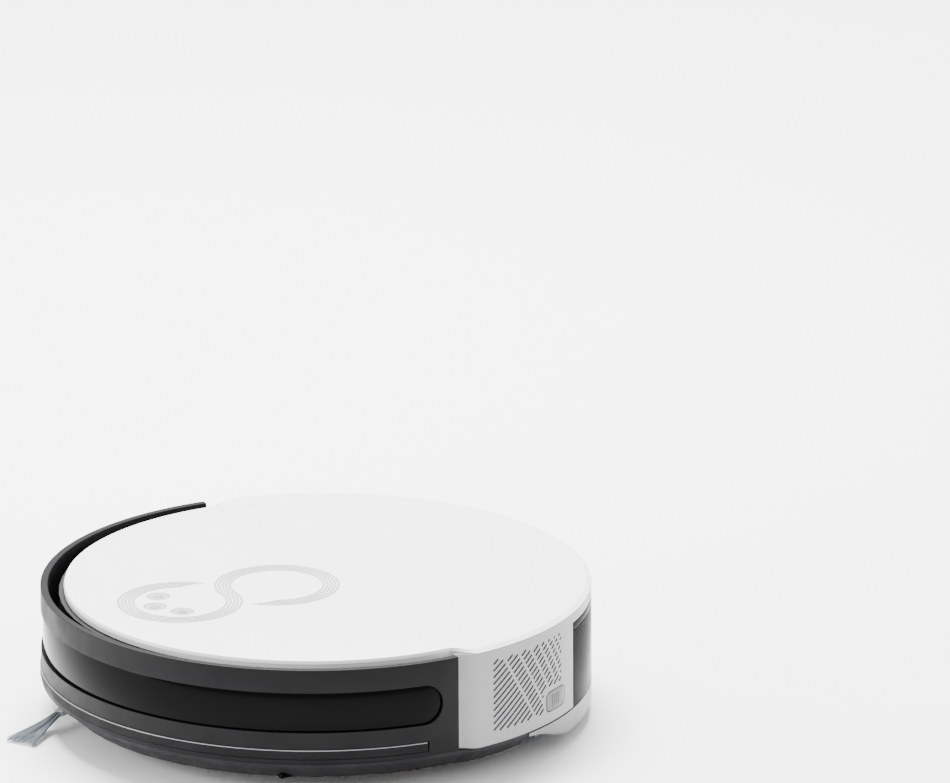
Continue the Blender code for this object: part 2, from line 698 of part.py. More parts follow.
def make_inner_frame():
    """Black frame: deck, front ring wall, bin bay and the bosses that hang from it."""
    reach = 2 * BODY_RADIUS
    frame = stacked("inner_frame", ((FRAME_R, FRAME_REAR_R, SHELL_BOTTOM),
                                    (FRAME_R, FRAME_REAR_R, DECK_TOP)))
    low = SHELL_BOTTOM - 5 * MM
    hollow = stacked("hollow", ((FRAME_R - FRAME_WALL, FRAME_REAR_R - FRAME_WALL, low),
                                (FRAME_R - FRAME_WALL, FRAME_REAR_R - FRAME_WALL, DECK_BOTTOM)))
    cut(hollow, box("cutter", (-reach, PARTITION_FRONT, 0.0), (reach, reach, reach)))
    bay_x = BIN_HALF_X + PLAY
    bay = box("bay", (-bay_x, BAY_FRONT, low), (bay_x, reach, DECK_BOTTOM))
    cut(frame, hollow, bay)
    for side in (1, -1):
        near = side * (bay_x + FRAME_WALL)
        far = side * reach
        cut(frame, box("cutter", (min(near, far), BAY_FRONT, low),
                       (max(near, far), reach, DECK_BOTTOM)))

    duct = DUCT_HALF_WIDTH + 2 * MM
    cut(frame, box("cutter", (-duct, PARTITION_FRONT - 1 * MM, DUCT_BOTTOM - 1 * MM),
                   (duct, BAY_FRONT + 1 * MM, DUCT_BOTTOM + DUCT_HEIGHT + 1 * MM)))
    cut(frame, box("cutter", (FAN_X - 14 * MM, PARTITION_FRONT - 1 * MM, FILTER_BOTTOM + 6 * MM),
                   (FAN_X + 14 * MM, BAY_FRONT + 1 * MM, FILTER_BOTTOM + FILTER_HEIGHT)))
    for side in (1, -1):
        cut(frame, box("cutter", (side * 150 * MM - 14 * MM, 26 * MM, 32 * MM),
                       (side * 150 * MM + 14 * MM, 60 * MM, 72 * MM)))
    half, front, rear = BUTTON_BOARD
    cut(frame, box("cutter", (-half + DECK_SLOT_MARGIN, front + DECK_SLOT_MARGIN, DECK_BOTTOM - 1 * MM),
                   (half - DECK_SLOT_MARGIN, rear - DECK_SLOT_MARGIN, DECK_TOP + 1 * MM)))

    root = FRAME_R - FRAME_WALL / 2.0
    foot_bottom = BUMPER_BOTTOM - GAP - FOOT_HEIGHT + 0.2 * MM
    foot = [(r, r, z) for r, z in (
        (root, foot_bottom), (PAN_FRONT_R, foot_bottom),
        (PAN_FRONT_R, BUMPER_BOTTOM - GAP), (root, BUMPER_BOTTOM - GAP))]
    join(frame, swept("foot", foot, -FOOT_END, FOOT_END))
    for side in (1, -1):
        x = side * SPRING_SEAT_X
        wall = -math.sqrt(FRAME_R ** 2 - SPRING_SEAT_X ** 2)
        start = (x, wall + 3 * MM, SPRING_SEAT_Z)
        end = (x, wall + SPRING_SEAT_DEPTH + 2 * MM, SPRING_SEAT_Z)
        join(frame, rod("seat", BUMPER_COIL_R + 3 * MM, start, end))
        bore_end = (x, wall + SPRING_SEAT_DEPTH, SPRING_SEAT_Z)
        cut(frame, rod("cutter", BUMPER_COIL_R + COIL_WIRE / 2 + GAP,
                       (x, wall - 12 * MM, SPRING_SEAT_Z), bore_end))
    for x in (-BOARD_HALF_X + 8 * MM, BOARD_HALF_X - 8 * MM):
        for y in (BOARD_LOW_Y + 8 * MM, BOARD_LOW_Y + BOARD_DEPTH - 8 * MM):
            join(frame, rod("post", POST_R, (x, y, BOARD_Z + BOARD_THICK + GAP),
                            (x, y, DECK_BOTTOM + 1 * MM), 12))
    return dress(frame, BLACK, 0.6)


def pan_solid():
    """The pan's tray with its sloping underside, cut straight behind."""
    reach = 2 * BODY_RADIUS
    pan = stacked("base_pan", (
        (PAN_FRONT_R - PAN_BEVEL, PAN_REAR_R - PAN_BEVEL, PAN_BOTTOM),
        (PAN_FRONT_R, PAN_REAR_R, PAN_BEVEL_TOP),
        (PAN_FRONT_R, PAN_REAR_R, PAN_RIM_TOP)))
    inside = FRAME_R - FRAME_WALL - GAP
    rear_inside = inside + PAN_REAR_R - PAN_FRONT_R
    cut(pan, stacked("cutter", ((inside, rear_inside, PAN_INSIDE),
                                (inside, rear_inside, PAN_RIM_TOP + 5 * MM))))
    return cut(pan, box("cutter", (-reach, PAN_REAR, 0.0), (reach, reach, reach)))


def arch_outline(radius, low):
    """A (y, z) arch over the main brush with straight legs down to a height."""
    points = [(BRUSH_Y - radius, low), (BRUSH_Y + radius, low)]
    steps = 16
    for i in range(steps + 1):
        turn = math.pi * i / steps
        points.append((BRUSH_Y + radius * math.cos(turn), BRUSH_Z + radius * math.sin(turn)))
    return points


def add_brush_tunnel(pan):
    """The arched chamber over the main brush, its end walls, duct and mouth."""
    wall = TUNNEL_R + TUNNEL_WALL
    end = TUNNEL_HALF + TUNNEL_WALL
    join(pan, plate_x("arch", arch_outline(wall, PAN_BOTTOM + 1 * MM), -end, end))
    duct_x = DUCT_HALF_WIDTH + 4 * MM
    join(pan, box("duct", (-duct_x, BRUSH_Y + wall - 8 * MM, DUCT_BOTTOM - DUCT_WALL),
                  (duct_x, PARTITION_FRONT - GAP, DUCT_BOTTOM + DUCT_HEIGHT + DUCT_WALL)))
    cut(pan, plate_x("cutter", arch_outline(TUNNEL_R, PAN_BOTTOM - 5 * MM), -TUNNEL_HALF, TUNNEL_HALF))
    cut(pan, box("cutter", (-DUCT_HALF_WIDTH - 1 * MM, BRUSH_Y, DUCT_BOTTOM - 1 * MM),
                 (DUCT_HALF_WIDTH + 1 * MM, PARTITION_FRONT + 5 * MM, DUCT_BOTTOM + DUCT_HEIGHT + 1 * MM)))
    for side in (1, -1):
        cut(pan, rod("cutter", BRUSH_SHAFT_R + GAP, (side * (TUNNEL_HALF - 1 * MM), BRUSH_Y, BRUSH_Z),
                     (side * (end + 1 * MM), BRUSH_Y, BRUSH_Z)))
    return pan


def add_wheel_mounts(pan):
    """Ears for the suspension pivots and the openings that the wheels drop through."""
    inner = ARM_X - ARM_THICK / 2.0
    outer = ARM_X + ARM_THICK / 2.0
    ear_r = PIVOT_R + 4 * MM
    for side in (1, -1):
        for low, high in ((inner - GAP - EAR_THICK, inner - GAP), (outer + GAP, outer + GAP + EAR_THICK)):
            ends = sorted((side * low, side * high))
            ear = [(ARM_PIVOT_Y - ear_r, PAN_INSIDE - 1 * MM), (ARM_PIVOT_Y + ear_r, PAN_INSIDE - 1 * MM),
                   (ARM_PIVOT_Y + ear_r, ARM_PIVOT_Z)]
            for i in range(1, 8):
                turn = math.pi * i / 8.0
                ear.append((ARM_PIVOT_Y + ear_r * math.cos(turn), ARM_PIVOT_Z + ear_r * math.sin(turn)))
            ear.append((ARM_PIVOT_Y - ear_r, ARM_PIVOT_Z))
            join(pan, plate_x("ear", ear, *ends))
        cut(pan, rod("cutter", PIVOT_R + GAP, (side * (inner - 9 * MM), ARM_PIVOT_Y, ARM_PIVOT_Z),
                     (side * (outer + 9 * MM), ARM_PIVOT_Y, ARM_PIVOT_Z)))
        tyre_outer = WHEEL_X + TYRE_WIDTH / 2.0 + 3 * MM
        ends = sorted((side * (inner - 1.5 * MM), side * tyre_outer))
        cut(pan, box("cutter", (ends[0], WHEEL_Y - WHEEL_RADIUS - 5 * MM, PAN_BOTTOM - 5 * MM),
                     (ends[1], WHEEL_Y + WHEEL_RADIUS, PAN_INSIDE + 1 * MM)))
    return pan


def add_pan_details(pan):
    """Caster cup, screw bosses, and the holes for the door, sensors and side brush."""
    low = PAN_BOTTOM - 5 * MM
    cup = CASTER_WELL_R + CASTER_CUP_WALL
    join(pan, rod("cup", cup, (0, CASTER_Y, PAN_BOTTOM + 1 * MM), (0, CASTER_Y, CASTER_TOP)))
    well_top = CASTER_DISC_Z + CASTER_DISC_THICK + GAP
    cut(pan, rod("cutter", CASTER_WELL_R, (0, CASTER_Y, low), (0, CASTER_Y, well_top)))
    cut(pan, rod("cutter", CASTER_STEM_R + GAP, (0, CASTER_Y, low), (0, CASTER_Y, CASTER_TOP + 5 * MM)))
    for x, y in SCREW_PLACES:
        x, y = x * MM, y * MM
        join(pan, rod("boss", SCREW_BOSS_R, (x, y, PAN_BOTTOM + 1 * MM), (x, y, PAN_RIM_TOP), 16))
        seat = PAN_BOTTOM + SCREW_HEAD + 2 * GAP
        cut(pan, rod("cutter", SCREW_HEAD_R + GAP, (x, y, low), (x, y, seat), 16))
        cut(pan, rod("cutter", SCREW_SHANK_R + GAP, (x, y, low), (x, y, PAN_RIM_TOP + 5 * MM), 16))
    width, depth, height = CLIFF_SIZE
    for x, y in CLIFF_PLACES.values():
        cut(pan, box("cutter", (x * MM - width / 2 - GAP, y * MM - depth / 2 - GAP, low),
                     (x * MM + width / 2 + GAP, y * MM + depth / 2 + GAP, PAN_INSIDE + 1 * MM)))
    door_low, door_high = door_corners(GAP)
    cut(pan, box("cutter", (*door_low, low), (*door_high, PAN_INSIDE + 1 * MM)))
    cut(pan, rod("cutter", SIDE_SHAFT_R + 2 * GAP, (SIDE_BRUSH_X, SIDE_BRUSH_Y, low),
                 (SIDE_BRUSH_X, SIDE_BRUSH_Y, PAN_INSIDE + 1 * MM)))
    return pan


def door_corners(margin):
    """Plan corners of the battery door, grown by a margin."""
    x = BATTERY_HALF_X + DOOR_MARGIN + margin
    low_y = BATTERY_LOW_Y - DOOR_MARGIN + 1.5 * MM - margin
    high_y = BATTERY_LOW_Y + BATTERY_DEPTH + DOOR_MARGIN - 1.5 * MM + margin
    return (-x, low_y), (x, high_y)


def make_base_pan():
    """The black underside that carries everything."""
    pan = pan_solid()
    add_brush_tunnel(pan)
    add_wheel_mounts(pan)
    add_pan_details(pan)
    return dress(pan, DARK_GREY, 0.6)


def make_pan_fittings():
    """Battery door, screws and cliff sensor windows in the pan's underside."""
    door_low, door_high = door_corners(0.0)
    door = box("battery_door", (*door_low, PAN_BOTTOM), (*door_high, PAN_INSIDE - GAP))
    dress(door, DARK_GREY, 0.55)
    for i, (x, y) in enumerate(SCREW_PLACES):
        base = PAN_BOTTOM + GAP
        profile = ((SCREW_HEAD_R, base), (SCREW_HEAD_R, base + SCREW_HEAD),
                   (SCREW_SHANK_R, base + SCREW_HEAD), (SCREW_SHANK_R, base + SCREW_LENGTH))
        screw = turned("pan_screw_%d" % (i + 1), profile, (x * MM, y * MM, 0.0), (0, 0, 1), 12)
        dress(screw, STEEL, 0.3, 1.0)
    width, depth, height = CLIFF_SIZE
    for name, (x, y) in CLIFF_PLACES.items():
        window = box(name, (x * MM - width / 2, y * MM - depth / 2, PAN_BOTTOM),
                     (x * MM + width / 2, y * MM + depth / 2, PAN_BOTTOM + height))
        dress(window, GLOSS_BLACK, 0.1)


# --- dust bin and mop -------------------------------------------------------------

def make_dust_bin():
    """Smoky bin tub with an inlet, a filter seat and an emptying port."""
    tub = prism("dust_bin", bin_outline(0.0), BIN_BOTTOM, BIN_TOP)
    cut(tub, prism("cutter", bin_outline(BIN_WALL), BIN_BOTTOM + BIN_WALL, BIN_TOP + 5 * MM))
    front = BIN_FRONT - 1 * MM
    behind = BIN_FRONT + BIN_WALL + 1 * MM
    cut(tub, box("cutter", (-DUCT_HALF_WIDTH, front, DUCT_BOTTOM),
                 (DUCT_HALF_WIDTH, behind, DUCT_BOTTOM + DUCT_HEIGHT)))
    cut(tub, box("cutter", (FILTER_LOW_X, front, FILTER_BOTTOM),
                 (FILTER_LOW_X + FILTER_WIDTH, behind, FILTER_BOTTOM + FILTER_HEIGHT)))
    cut(tub, box("cutter", (-FLAP_WIDTH / 2, SHELL_R - 10 * MM, FLAP_BOTTOM),
                 (FLAP_WIDTH / 2, SHELL_R + 5 * MM, FLAP_BOTTOM + FLAP_HEIGHT)))
    dress(tub, SMOKE, 0.15, alpha=0.6)

    lid = prism("bin_lid", bin_outline(0.0), BIN_TOP + GAP, BIN_LID_TOP)
    cut(lid, prism("cutter", bin_outline(BIN_WALL), BIN_TOP - 1 * MM, BIN_LID_TOP - BIN_WALL))
    dress(lid, SMOKE, 0.15, alpha=0.6)

    cartridge = box("bin_filter",
                    (FILTER_LOW_X + GAP, BIN_FRONT + GAP, FILTER_BOTTOM + GAP),
                    (FILTER_LOW_X + FILTER_WIDTH - GAP, BIN_FRONT + FILTER_DEPTH,
                     FILTER_BOTTOM + FILTER_HEIGHT - GAP))
    dress(cartridge, WHITE, 0.8)

    outer = SHELL_R - BIN_WALL / 2.0
    flap_top = FLAP_BOTTOM + FLAP_HEIGHT - PLAY
    flap = box("evac_flap", (-FLAP_WIDTH / 2 + GAP, outer - FLAP_THICK, FLAP_BOTTOM + GAP),
               (FLAP_WIDTH / 2 - GAP, outer, flap_top))
    dress(move_origin(flap, (0.0, outer - FLAP_THICK / 2, flap_top - FLAP_THICK / 2)), RUBBER, 0.8)


def make_mop():
    """Mop plate under the bin, its underside ramping up in front, and its pad."""
    points = [(BODY_RADIUS * 1.2, MOP_TOP), (MOP_FRONT, MOP_TOP)]
    nose = MOP_TOP - MOP_NOSE_DROP
    steps = 6
    for i in range(steps + 1):
        share = i / steps
        ease = share * share * (3.0 - 2.0 * share)
        points.append((MOP_FRONT + MOP_RAMP * share, nose + (MOP_BOTTOM - nose) * ease))
    points.append((BODY_RADIUS * 1.2, MOP_BOTTOM))
    plate = plate_x("mop_plate", points, -BODY_RADIUS * 1.2, BODY_RADIUS * 1.2)
    disc = stacked("disc", ((SHELL_R, SHELL_R, 0.0), (SHELL_R, SHELL_R, BODY_HEIGHT)))
    combine(plate, disc, "INTERSECT")
    dress(plate, LIGHT_GREY, 0.45)

    radius = BODY_RADIUS - PAD_INSET
    top = MOP_BOTTOM - GAP
    pad = stacked("mop_pad", ((radius, radius, top - PAD_THICK), (radius, radius, top)))
    reach = 2 * BODY_RADIUS
    pad_front = max(PAD_FRONT, MOP_FRONT + MOP_RAMP / 2)
    cut(pad, box("cutter", (-reach, -reach, -reach), (reach, pad_front, reach)))
    dress(pad, BLUE_GREY, 0.95)


# --- running gear ---------------------------------------------------------------

def make_wheel(side_name, side):
    """Suspension arm, drive motor, hub, tyre and spring of one wheel."""
    inner = ARM_X - ARM_THICK / 2.0
    outer = ARM_X + ARM_THICK / 2.0
    centre = (side * WHEEL_X, WHEEL_Y, WHEEL_RADIUS)
    pivot = (side * ARM_X, ARM_PIVOT_Y, ARM_PIVOT_Z)

    circles = ((ARM_PIVOT_Y, ARM_PIVOT_Z, PIVOT_R + 4 * MM), (WHEEL_Y, WHEEL_RADIUS, 12 * MM),
               (MOTOR_Y, MOTOR_Z, MOTOR_R))
    arm = plate_x("wheel_arm_" + side_name, hull_outline(circles), *sorted((side * inner, side * outer)))
    join(arm, rod("seat", COIL_R + 0.9 * MM, (side * COIL_X, COIL_Y, COIL_SEAT_Z - 10 * MM),
                  (side * COIL_X, COIL_Y, COIL_SEAT_Z), 16))
    join(arm, rod("pin", PIVOT_R, (side * (inner - GAP - EAR_THICK), ARM_PIVOT_Y, ARM_PIVOT_Z),
                  (side * (outer + GAP + EAR_THICK), ARM_PIVOT_Y, ARM_PIVOT_Z), 16))
    cut(arm, rod("cutter", HUB_SHAFT_R + GAP, (side * (inner - 9 * MM), WHEEL_Y, WHEEL_RADIUS),
                 (side * (outer + 9 * MM), WHEEL_Y, WHEEL_RADIUS)))
    dress(move_origin(arm, pivot), DARK_GREY, 0.5)

    near = side * (inner - GAP)
    motor = rod("drive_motor_" + side_name, MOTOR_R, (near, MOTOR_Y, MOTOR_Z),
                (side * (inner - GAP - MOTOR_LENGTH), MOTOR_Y, MOTOR_Z))
    dress(motor, STEEL, 0.35, 1.0)

    half = TYRE_WIDTH / 2.0
    rim = WHEEL_RADIUS - TYRE_THICK
    hub_r = rim - GAP
    profile = ((HUB_SHAFT_R, -WHEEL_X + inner), (HUB_SHAFT_R, -half + 1 * MM), (hub_r, -half + 1 * MM),
               (hub_r, half - 1 * MM), (hub_r - 4 * MM, half - 1 * MM), (hub_r - 6 * MM, half - 7 * MM),
               (6 * MM, half - 7 * MM), (5 * MM, half - 3 * MM))
    hub = turned("wheel_hub_" + side_name, profile, centre, (side, 0, 0), 24)
    dress(move_origin(hub, centre), LIGHT_GREY, 0.4)

    tyre_profile = ((rim, -half), (WHEEL_RADIUS - 2 * MM, -half), (WHEEL_RADIUS, -half + 2.5 * MM),
                    (WHEEL_RADIUS, half - 2.5 * MM), (WHEEL_RADIUS - 2 * MM, half), (rim, half))
    loops = []
    sides = 32
    for i in range(sides):
        turn = 2.0 * math.pi * (i + 0.5) / sides
        loops.append([(centre[0] + side * along, centre[1] + radius * math.cos(turn),
                       centre[2] + radius * math.sin(turn)) for radius, along in tyre_profile])
    tyre = skin("tyre_" + side_name, loops, True)
    dress(move_origin(tyre, centre), RUBBER, 0.85)

    spring = coil("suspension_spring_" + side_name, COIL_R, COIL_WIRE, 6,
                  (side * COIL_X, COIL_Y, COIL_SEAT_Z + GAP), (side * COIL_X, COIL_Y, DECK_BOTTOM - GAP))
    dress(spring, STEEL, 0.3, 1.0)


def make_caster():
    """Swivelling caster: fork on a stem, axle and small wheel."""
    wheel_y = CASTER_Y + CASTER_TRAIL
    half = CASTER_WHEEL_WIDTH / 2.0
    disc_top = CASTER_DISC_Z + CASTER_DISC_THICK
    fork = rod("caster_fork", CASTER_WELL_R - 3 * GAP, (0, CASTER_Y, CASTER_DISC_Z),
               (0, CASTER_Y, disc_top))
    for side in (1, -1):
        ends = sorted((side * (half + PLAY), side * (half + PLAY + 2 * MM)))
        cheek = [(wheel_y - 7 * MM, CASTER_DISC_Z + 1 * MM), (wheel_y - 4 * MM, CASTER_WHEEL_R - 4 * MM),
                 (wheel_y + 4 * MM, CASTER_WHEEL_R - 4 * MM), (wheel_y + 7 * MM, CASTER_DISC_Z + 1 * MM)]
        join(fork, plate_x("cheek", cheek, *ends))
    join(fork, rod("stem", CASTER_STEM_R, (0, CASTER_Y, CASTER_DISC_Z + 1 * MM),
                   (0, CASTER_Y, CASTER_TOP - 1 * MM)))
    cut(fork, rod("cutter", CASTER_AXLE_R + GAP, (-20 * MM, wheel_y, CASTER_WHEEL_R),
                  (20 * MM, wheel_y, CASTER_WHEEL_R), 16))
    dress(move_origin(fork, (0, CASTER_Y, CASTER_DISC_Z)), DARK_GREY, 0.5)

    end = half + PLAY + 2 * MM
    axle = rod("caster_axle", CASTER_AXLE_R, (-end, wheel_y, CASTER_WHEEL_R),
               (end, wheel_y, CASTER_WHEEL_R), 16)
    dress(move_origin(axle, (0, wheel_y, CASTER_WHEEL_R)), STEEL, 0.25, 1.0)

    loops = []
    bore = CASTER_AXLE_R + GAP
    shoulder = CASTER_WHEEL_R - 1.5 * MM
    profile = ((bore, -half), (shoulder, -half), (CASTER_WHEEL_R, -half + 2 * MM),
               (CASTER_WHEEL_R, half - 2 * MM), (shoulder, half), (bore, half))
    sides = 20
    for i in range(sides):
        turn = 2.0 * math.pi * (i + 0.5) / sides
        loops.append([(along, wheel_y + radius * math.cos(turn), CASTER_WHEEL_R + radius * math.sin(turn))
                      for radius, along in profile])
    wheel = skin("caster_wheel", loops, True)
    dress(move_origin(wheel, (0, wheel_y, CASTER_WHEEL_R)), RUBBER, 0.6)


def brush_section():
    """Star outline of the main brush: a core with rubber blades."""
    points = []
    half = BLADE_THICK / 2.0
    root = math.sqrt(BRUSH_CORE_R ** 2 - half ** 2)
    for i in range(BRUSH_BLADES):
        turn = 2.0 * math.pi * i / BRUSH_BLADES
        for along, across in ((root, -half), (BRUSH_R, -half * 0.6), (BRUSH_R, half * 0.6), (root, half)):
            points.append((along * math.cos(turn) - across * math.sin(turn),
                           along * math.sin(turn) + across * math.cos(turn)))
        between = turn + math.pi / BRUSH_BLADES
        points.append((BRUSH_CORE_R * math.cos(between), BRUSH_CORE_R * math.sin(between)))
    return points


def make_main_brush():
    """Main brush with chevron blades and end shafts, its bearing, motor and guard."""
    section = brush_section()
    loops = []
    steps = 8
    for i in range(steps + 1):
        share = i / steps
        twist = math.radians(60.0) * abs(2.0 * share - 1.0)
        x = -BRUSH_HALF + 2.0 * BRUSH_HALF * share
        loops.append([(x, BRUSH_Y + y * math.cos(twist) - z * math.sin(twist),
                       BRUSH_Z + y * math.sin(twist) + z * math.cos(twist)) for y, z in section])
    brush = skin("main_brush", loops, False)
    reach = TUNNEL_HALF + TUNNEL_WALL
    join(brush, rod("shaft", BRUSH_SHAFT_R, (-reach - GEARBOX_THICK + 1 * MM, BRUSH_Y, BRUSH_Z),
                    (TUNNEL_HALF - GAP, BRUSH_Y, BRUSH_Z), 16))
    dress(move_origin(brush, (0, BRUSH_Y, BRUSH_Z)), RUBBER, 0.7)

    bearing_end = TUNNEL_HALF - GAP
    bearing = ring("brush_bearing", BRUSH_SHAFT_R + GAP, BEARING_R,
                   (bearing_end - BEARING_WIDTH, BRUSH_Y, BRUSH_Z), (bearing_end, BRUSH_Y, BRUSH_Z))
    dress(bearing, LIGHT_GREY, 0.5)

    near = -(TUNNEL_HALF + TUNNEL_WALL + GAP)
    gear_r = BRUSH_Z - PAN_INSIDE - GEARBOX_TO_FLOOR
    circles = ((BRUSH_Y, BRUSH_Z, gear_r), (GEAR_MOTOR_Y, GEAR_MOTOR_Z, GEAR_MOTOR_R + 1 * MM))
    motor = plate_x("brush_motor", hull_outline(circles), near - GEARBOX_THICK, near)
    join(motor, rod("can", GEAR_MOTOR_R, (near - 1 * MM, GEAR_MOTOR_Y, GEAR_MOTOR_Z),
                    (near + GEAR_MOTOR_LENGTH, GEAR_MOTOR_Y, GEAR_MOTOR_Z)))
    cut(motor, rod("cutter", BRUSH_SHAFT_R + GAP, (near - 2 * GEARBOX_THICK, BRUSH_Y, BRUSH_Z),
                   (near + 2 * MM, BRUSH_Y, BRUSH_Z), 16))
    dress(motor, STEEL, 0.4, 1.0)

    top = PAN_BOTTOM - GAP
    wall = TUNNEL_R + TUNNEL_WALL
    low_y = BRUSH_Y - wall + 1 * MM
    high_y = min(BRUSH_Y + wall, MOP_FRONT) - 1 * MM
    end = TUNNEL_HALF + TUNNEL_WALL
    guard = box("brush_guard", (-end, low_y, top - GUARD_THICK), (end, high_y, top))
    inner = TUNNEL_HALF - GUARD_RIM
    cut(guard, box("cutter", (-inner, low_y + GUARD_RIM, 0.0),
                   (inner, high_y - GUARD_RIM, top + 5 * MM)))
    dress(guard, DARK_GREY, 0.5)


def make_side_brush():
    """Side brush: hub with two arms, two bristle tufts and the gear motor above."""
    hub_low = SIDE_HUB_TOP - SIDE_HUB_THICK
    place = (SIDE_BRUSH_X, SIDE_BRUSH_Y, 0.0)
    profile = ((SIDE_HUB_R - 1.5 * MM, hub_low), (SIDE_HUB_R, hub_low + 1.5 * MM), (SIDE_HUB_R, SIDE_HUB_TOP),
               (SIDE_SHAFT_R, SIDE_HUB_TOP), (SIDE_SHAFT_R, PAN_INSIDE + 8 * MM))
    hub = turned("side_brush_hub", profile, place, (0, 0, 1), 20)
    tuft_start = SIDE_ARM_LENGTH - 2 * MM
    for i in range(2):
        spin = Matrix.Translation(place) @ Matrix.Rotation(math.radians(SIDE_BRUSH_ANGLE + 180.0 * i), 4, "Z")
        near = SIDE_HUB_R - 3 * MM
        loops = []
        for along, middle, half_z, half_y in (
                (near, SIDE_HUB_TOP - 2.2 * MM, 2.0 * MM, 3.6 * MM),
                (tuft_start - GAP, SIDE_HUB_TOP - 2.5 * MM, 1.6 * MM, 2.6 * MM)):
            loops.append([(along, y, z) for y, z in (
                (-half_y, middle - half_z), (half_y, middle - half_z),
                (half_y, middle + half_z), (-half_y, middle + half_z))])
        arm = skin("arm", loops, False)
        arm.data.transform(spin)
        join(hub, arm)
        root = SIDE_HUB_TOP - 2.5 * MM
        loops = []
        for share in (0.0, 0.45, 0.8, 1.0):
            along = tuft_start + (SIDE_BRUSH_REACH - tuft_start) * share
            middle = root + (1.4 * MM - root) * share ** 1.3
            half_y = 1.8 * MM + 8.0 * MM * share
            half_z = 1.4 * MM - 0.6 * MM * share
            loops.append([(along, y, z) for y, z in (
                (-half_y, middle - half_z * 0.6), (0.0, middle - half_z), (half_y, middle - half_z * 0.6),
                (half_y, middle + half_z * 0.6), (0.0, middle + half_z), (-half_y, middle + half_z * 0.6))])
        tuft = skin("side_brush_tuft_%d" % (i + 1), loops, False)
        tuft.data.transform(spin)
        dress(move_origin(tuft, place), BLUE_GREY, 0.8)
    dress(move_origin(hub, place), LIGHT_GREY, 0.4)

    base = PAN_INSIDE + GAP
    circles = ((SIDE_BRUSH_X, SIDE_BRUSH_Y, SIDE_GEAR_R), (SIDE_MOTOR_X, SIDE_MOTOR_Y, SIDE_MOTOR_R))
    motor = prism("side_brush_motor", hull_outline(circles), base, SIDE_GEAR_TOP)
    join(motor, rod("can", SIDE_MOTOR_R - 0.5 * MM, (SIDE_MOTOR_X, SIDE_MOTOR_Y, SIDE_GEAR_TOP - 2 * MM),
                    (SIDE_MOTOR_X, SIDE_MOTOR_Y, SIDE_MOTOR_TOP)))
    cut(motor, rod("cutter", SIDE_SHAFT_R + GAP, (SIDE_BRUSH_X, SIDE_BRUSH_Y, 0.0),
                   (SIDE_BRUSH_X, SIDE_BRUSH_Y, PAN_INSIDE + 8 * MM + GAP), 16))
    dress(motor, STEEL, 0.4, 1.0)


# --- electronics and suction ------------------------------------------------------

def make_electronics():
    """Battery pack, main board and the button board under the deck."""
    base = PAN_INSIDE
    battery = box("battery_pack", (-BATTERY_HALF_X, BATTERY_LOW_Y, base),
                  (BATTERY_HALF_X, BATTERY_LOW_Y + BATTERY_DEPTH, base + BATTERY_HEIGHT))
    dress(battery, BLUE_GREY, 0.5)

    board = box("main_board", (-BOARD_HALF_X, BOARD_LOW_Y, BOARD_Z),
                (BOARD_HALF_X, BOARD_LOW_Y + BOARD_DEPTH, BOARD_Z + BOARD_THICK))
    dress(board, BOARD_GREEN, 0.5)

    half, front, rear = BUTTON_BOARD
    top = DECK_BOTTOM - GAP
    buttons = box("button_board", (-half, front, top - BOARD_THICK), (half, rear, top))
    dress(buttons, BOARD_GREEN, 0.5)


def make_fan():
    """Suction fan: volute housing with inlet and outlet, motor and impeller."""
    centre = (FAN_X, FAN_Y)
    width = FAN_OUTLET_WIDTH / 2.0
    inlet_top = FILTER_BOTTOM + FILTER_HEIGHT + 2 * MM
    inlet_low = FAN_BOTTOM + FAN_INLET_STEP

    def volume(name, inset, outlet_end, inlet_end):
        body = rod(name, FAN_R - inset, (*centre, FAN_BOTTOM + inset), (*centre, FAN_TOP - inset))
        join(body, box("outlet", (FAN_X, FAN_OUTLET_Y - width + inset, FAN_BOTTOM + inset + 1 * MM),
                       (outlet_end, FAN_OUTLET_Y + width - inset, FAN_TOP - inset - 1 * MM)))
        join(body, box("inlet", (FAN_X - 15 * MM + inset, FAN_Y + 5 * MM, inlet_low + inset),
                       (FAN_X + 15 * MM - inset, inlet_end, inlet_top - inset)))
        return body

    housing = volume("fan_housing", 0.0, FAN_OUTLET_X, PARTITION_FRONT - GAP)
    cut(housing, volume("cutter", FAN_WALL, FAN_OUTLET_X + 5 * MM, PARTITION_FRONT + 5 * MM))
    dress(housing, DARK_GREY, 0.5)

    base = FAN_BOTTOM + FAN_WALL + GAP
    top = FAN_TOP - FAN_WALL - 1 * MM
    profile = ((FAN_MOTOR_R, base), (FAN_MOTOR_R, base + FAN_MOTOR_HEIGHT),
               (FAN_SHAFT_R, base + FAN_MOTOR_HEIGHT), (FAN_SHAFT_R, top))
    motor = turned("fan_motor", profile, (*centre, 0.0), (0, 0, 1), 20)
    dress(motor, STEEL, 0.35, 1.0)

    disc_low = base + FAN_MOTOR_HEIGHT + GAP
    impeller = ring("fan_impeller", FAN_SHAFT_R + GAP, IMPELLER_R, (*centre, disc_low),
                    (*centre, disc_low + 1.4 * MM))
    join(impeller, ring("boss", FAN_SHAFT_R + GAP, 5 * MM, (*centre, disc_low), (*centre, top - 1 * MM)))
    for i in range(FAN_BLADES):
        blade = box("blade", (4.5 * MM, -0.7 * MM, disc_low + 0.7 * MM),
                    (IMPELLER_R - 0.5 * MM, 0.7 * MM, top - 1.5 * MM))
        spin = Matrix.Rotation(2.0 * math.pi * (i + 0.5) / FAN_BLADES, 4, "Z")
        blade.data.transform(Matrix.Translation((*centre, 0.0)) @ spin)
        join(impeller, blade)
    dress(move_origin(impeller, (*centre, disc_low)), LIGHT_GREY, 0.4)


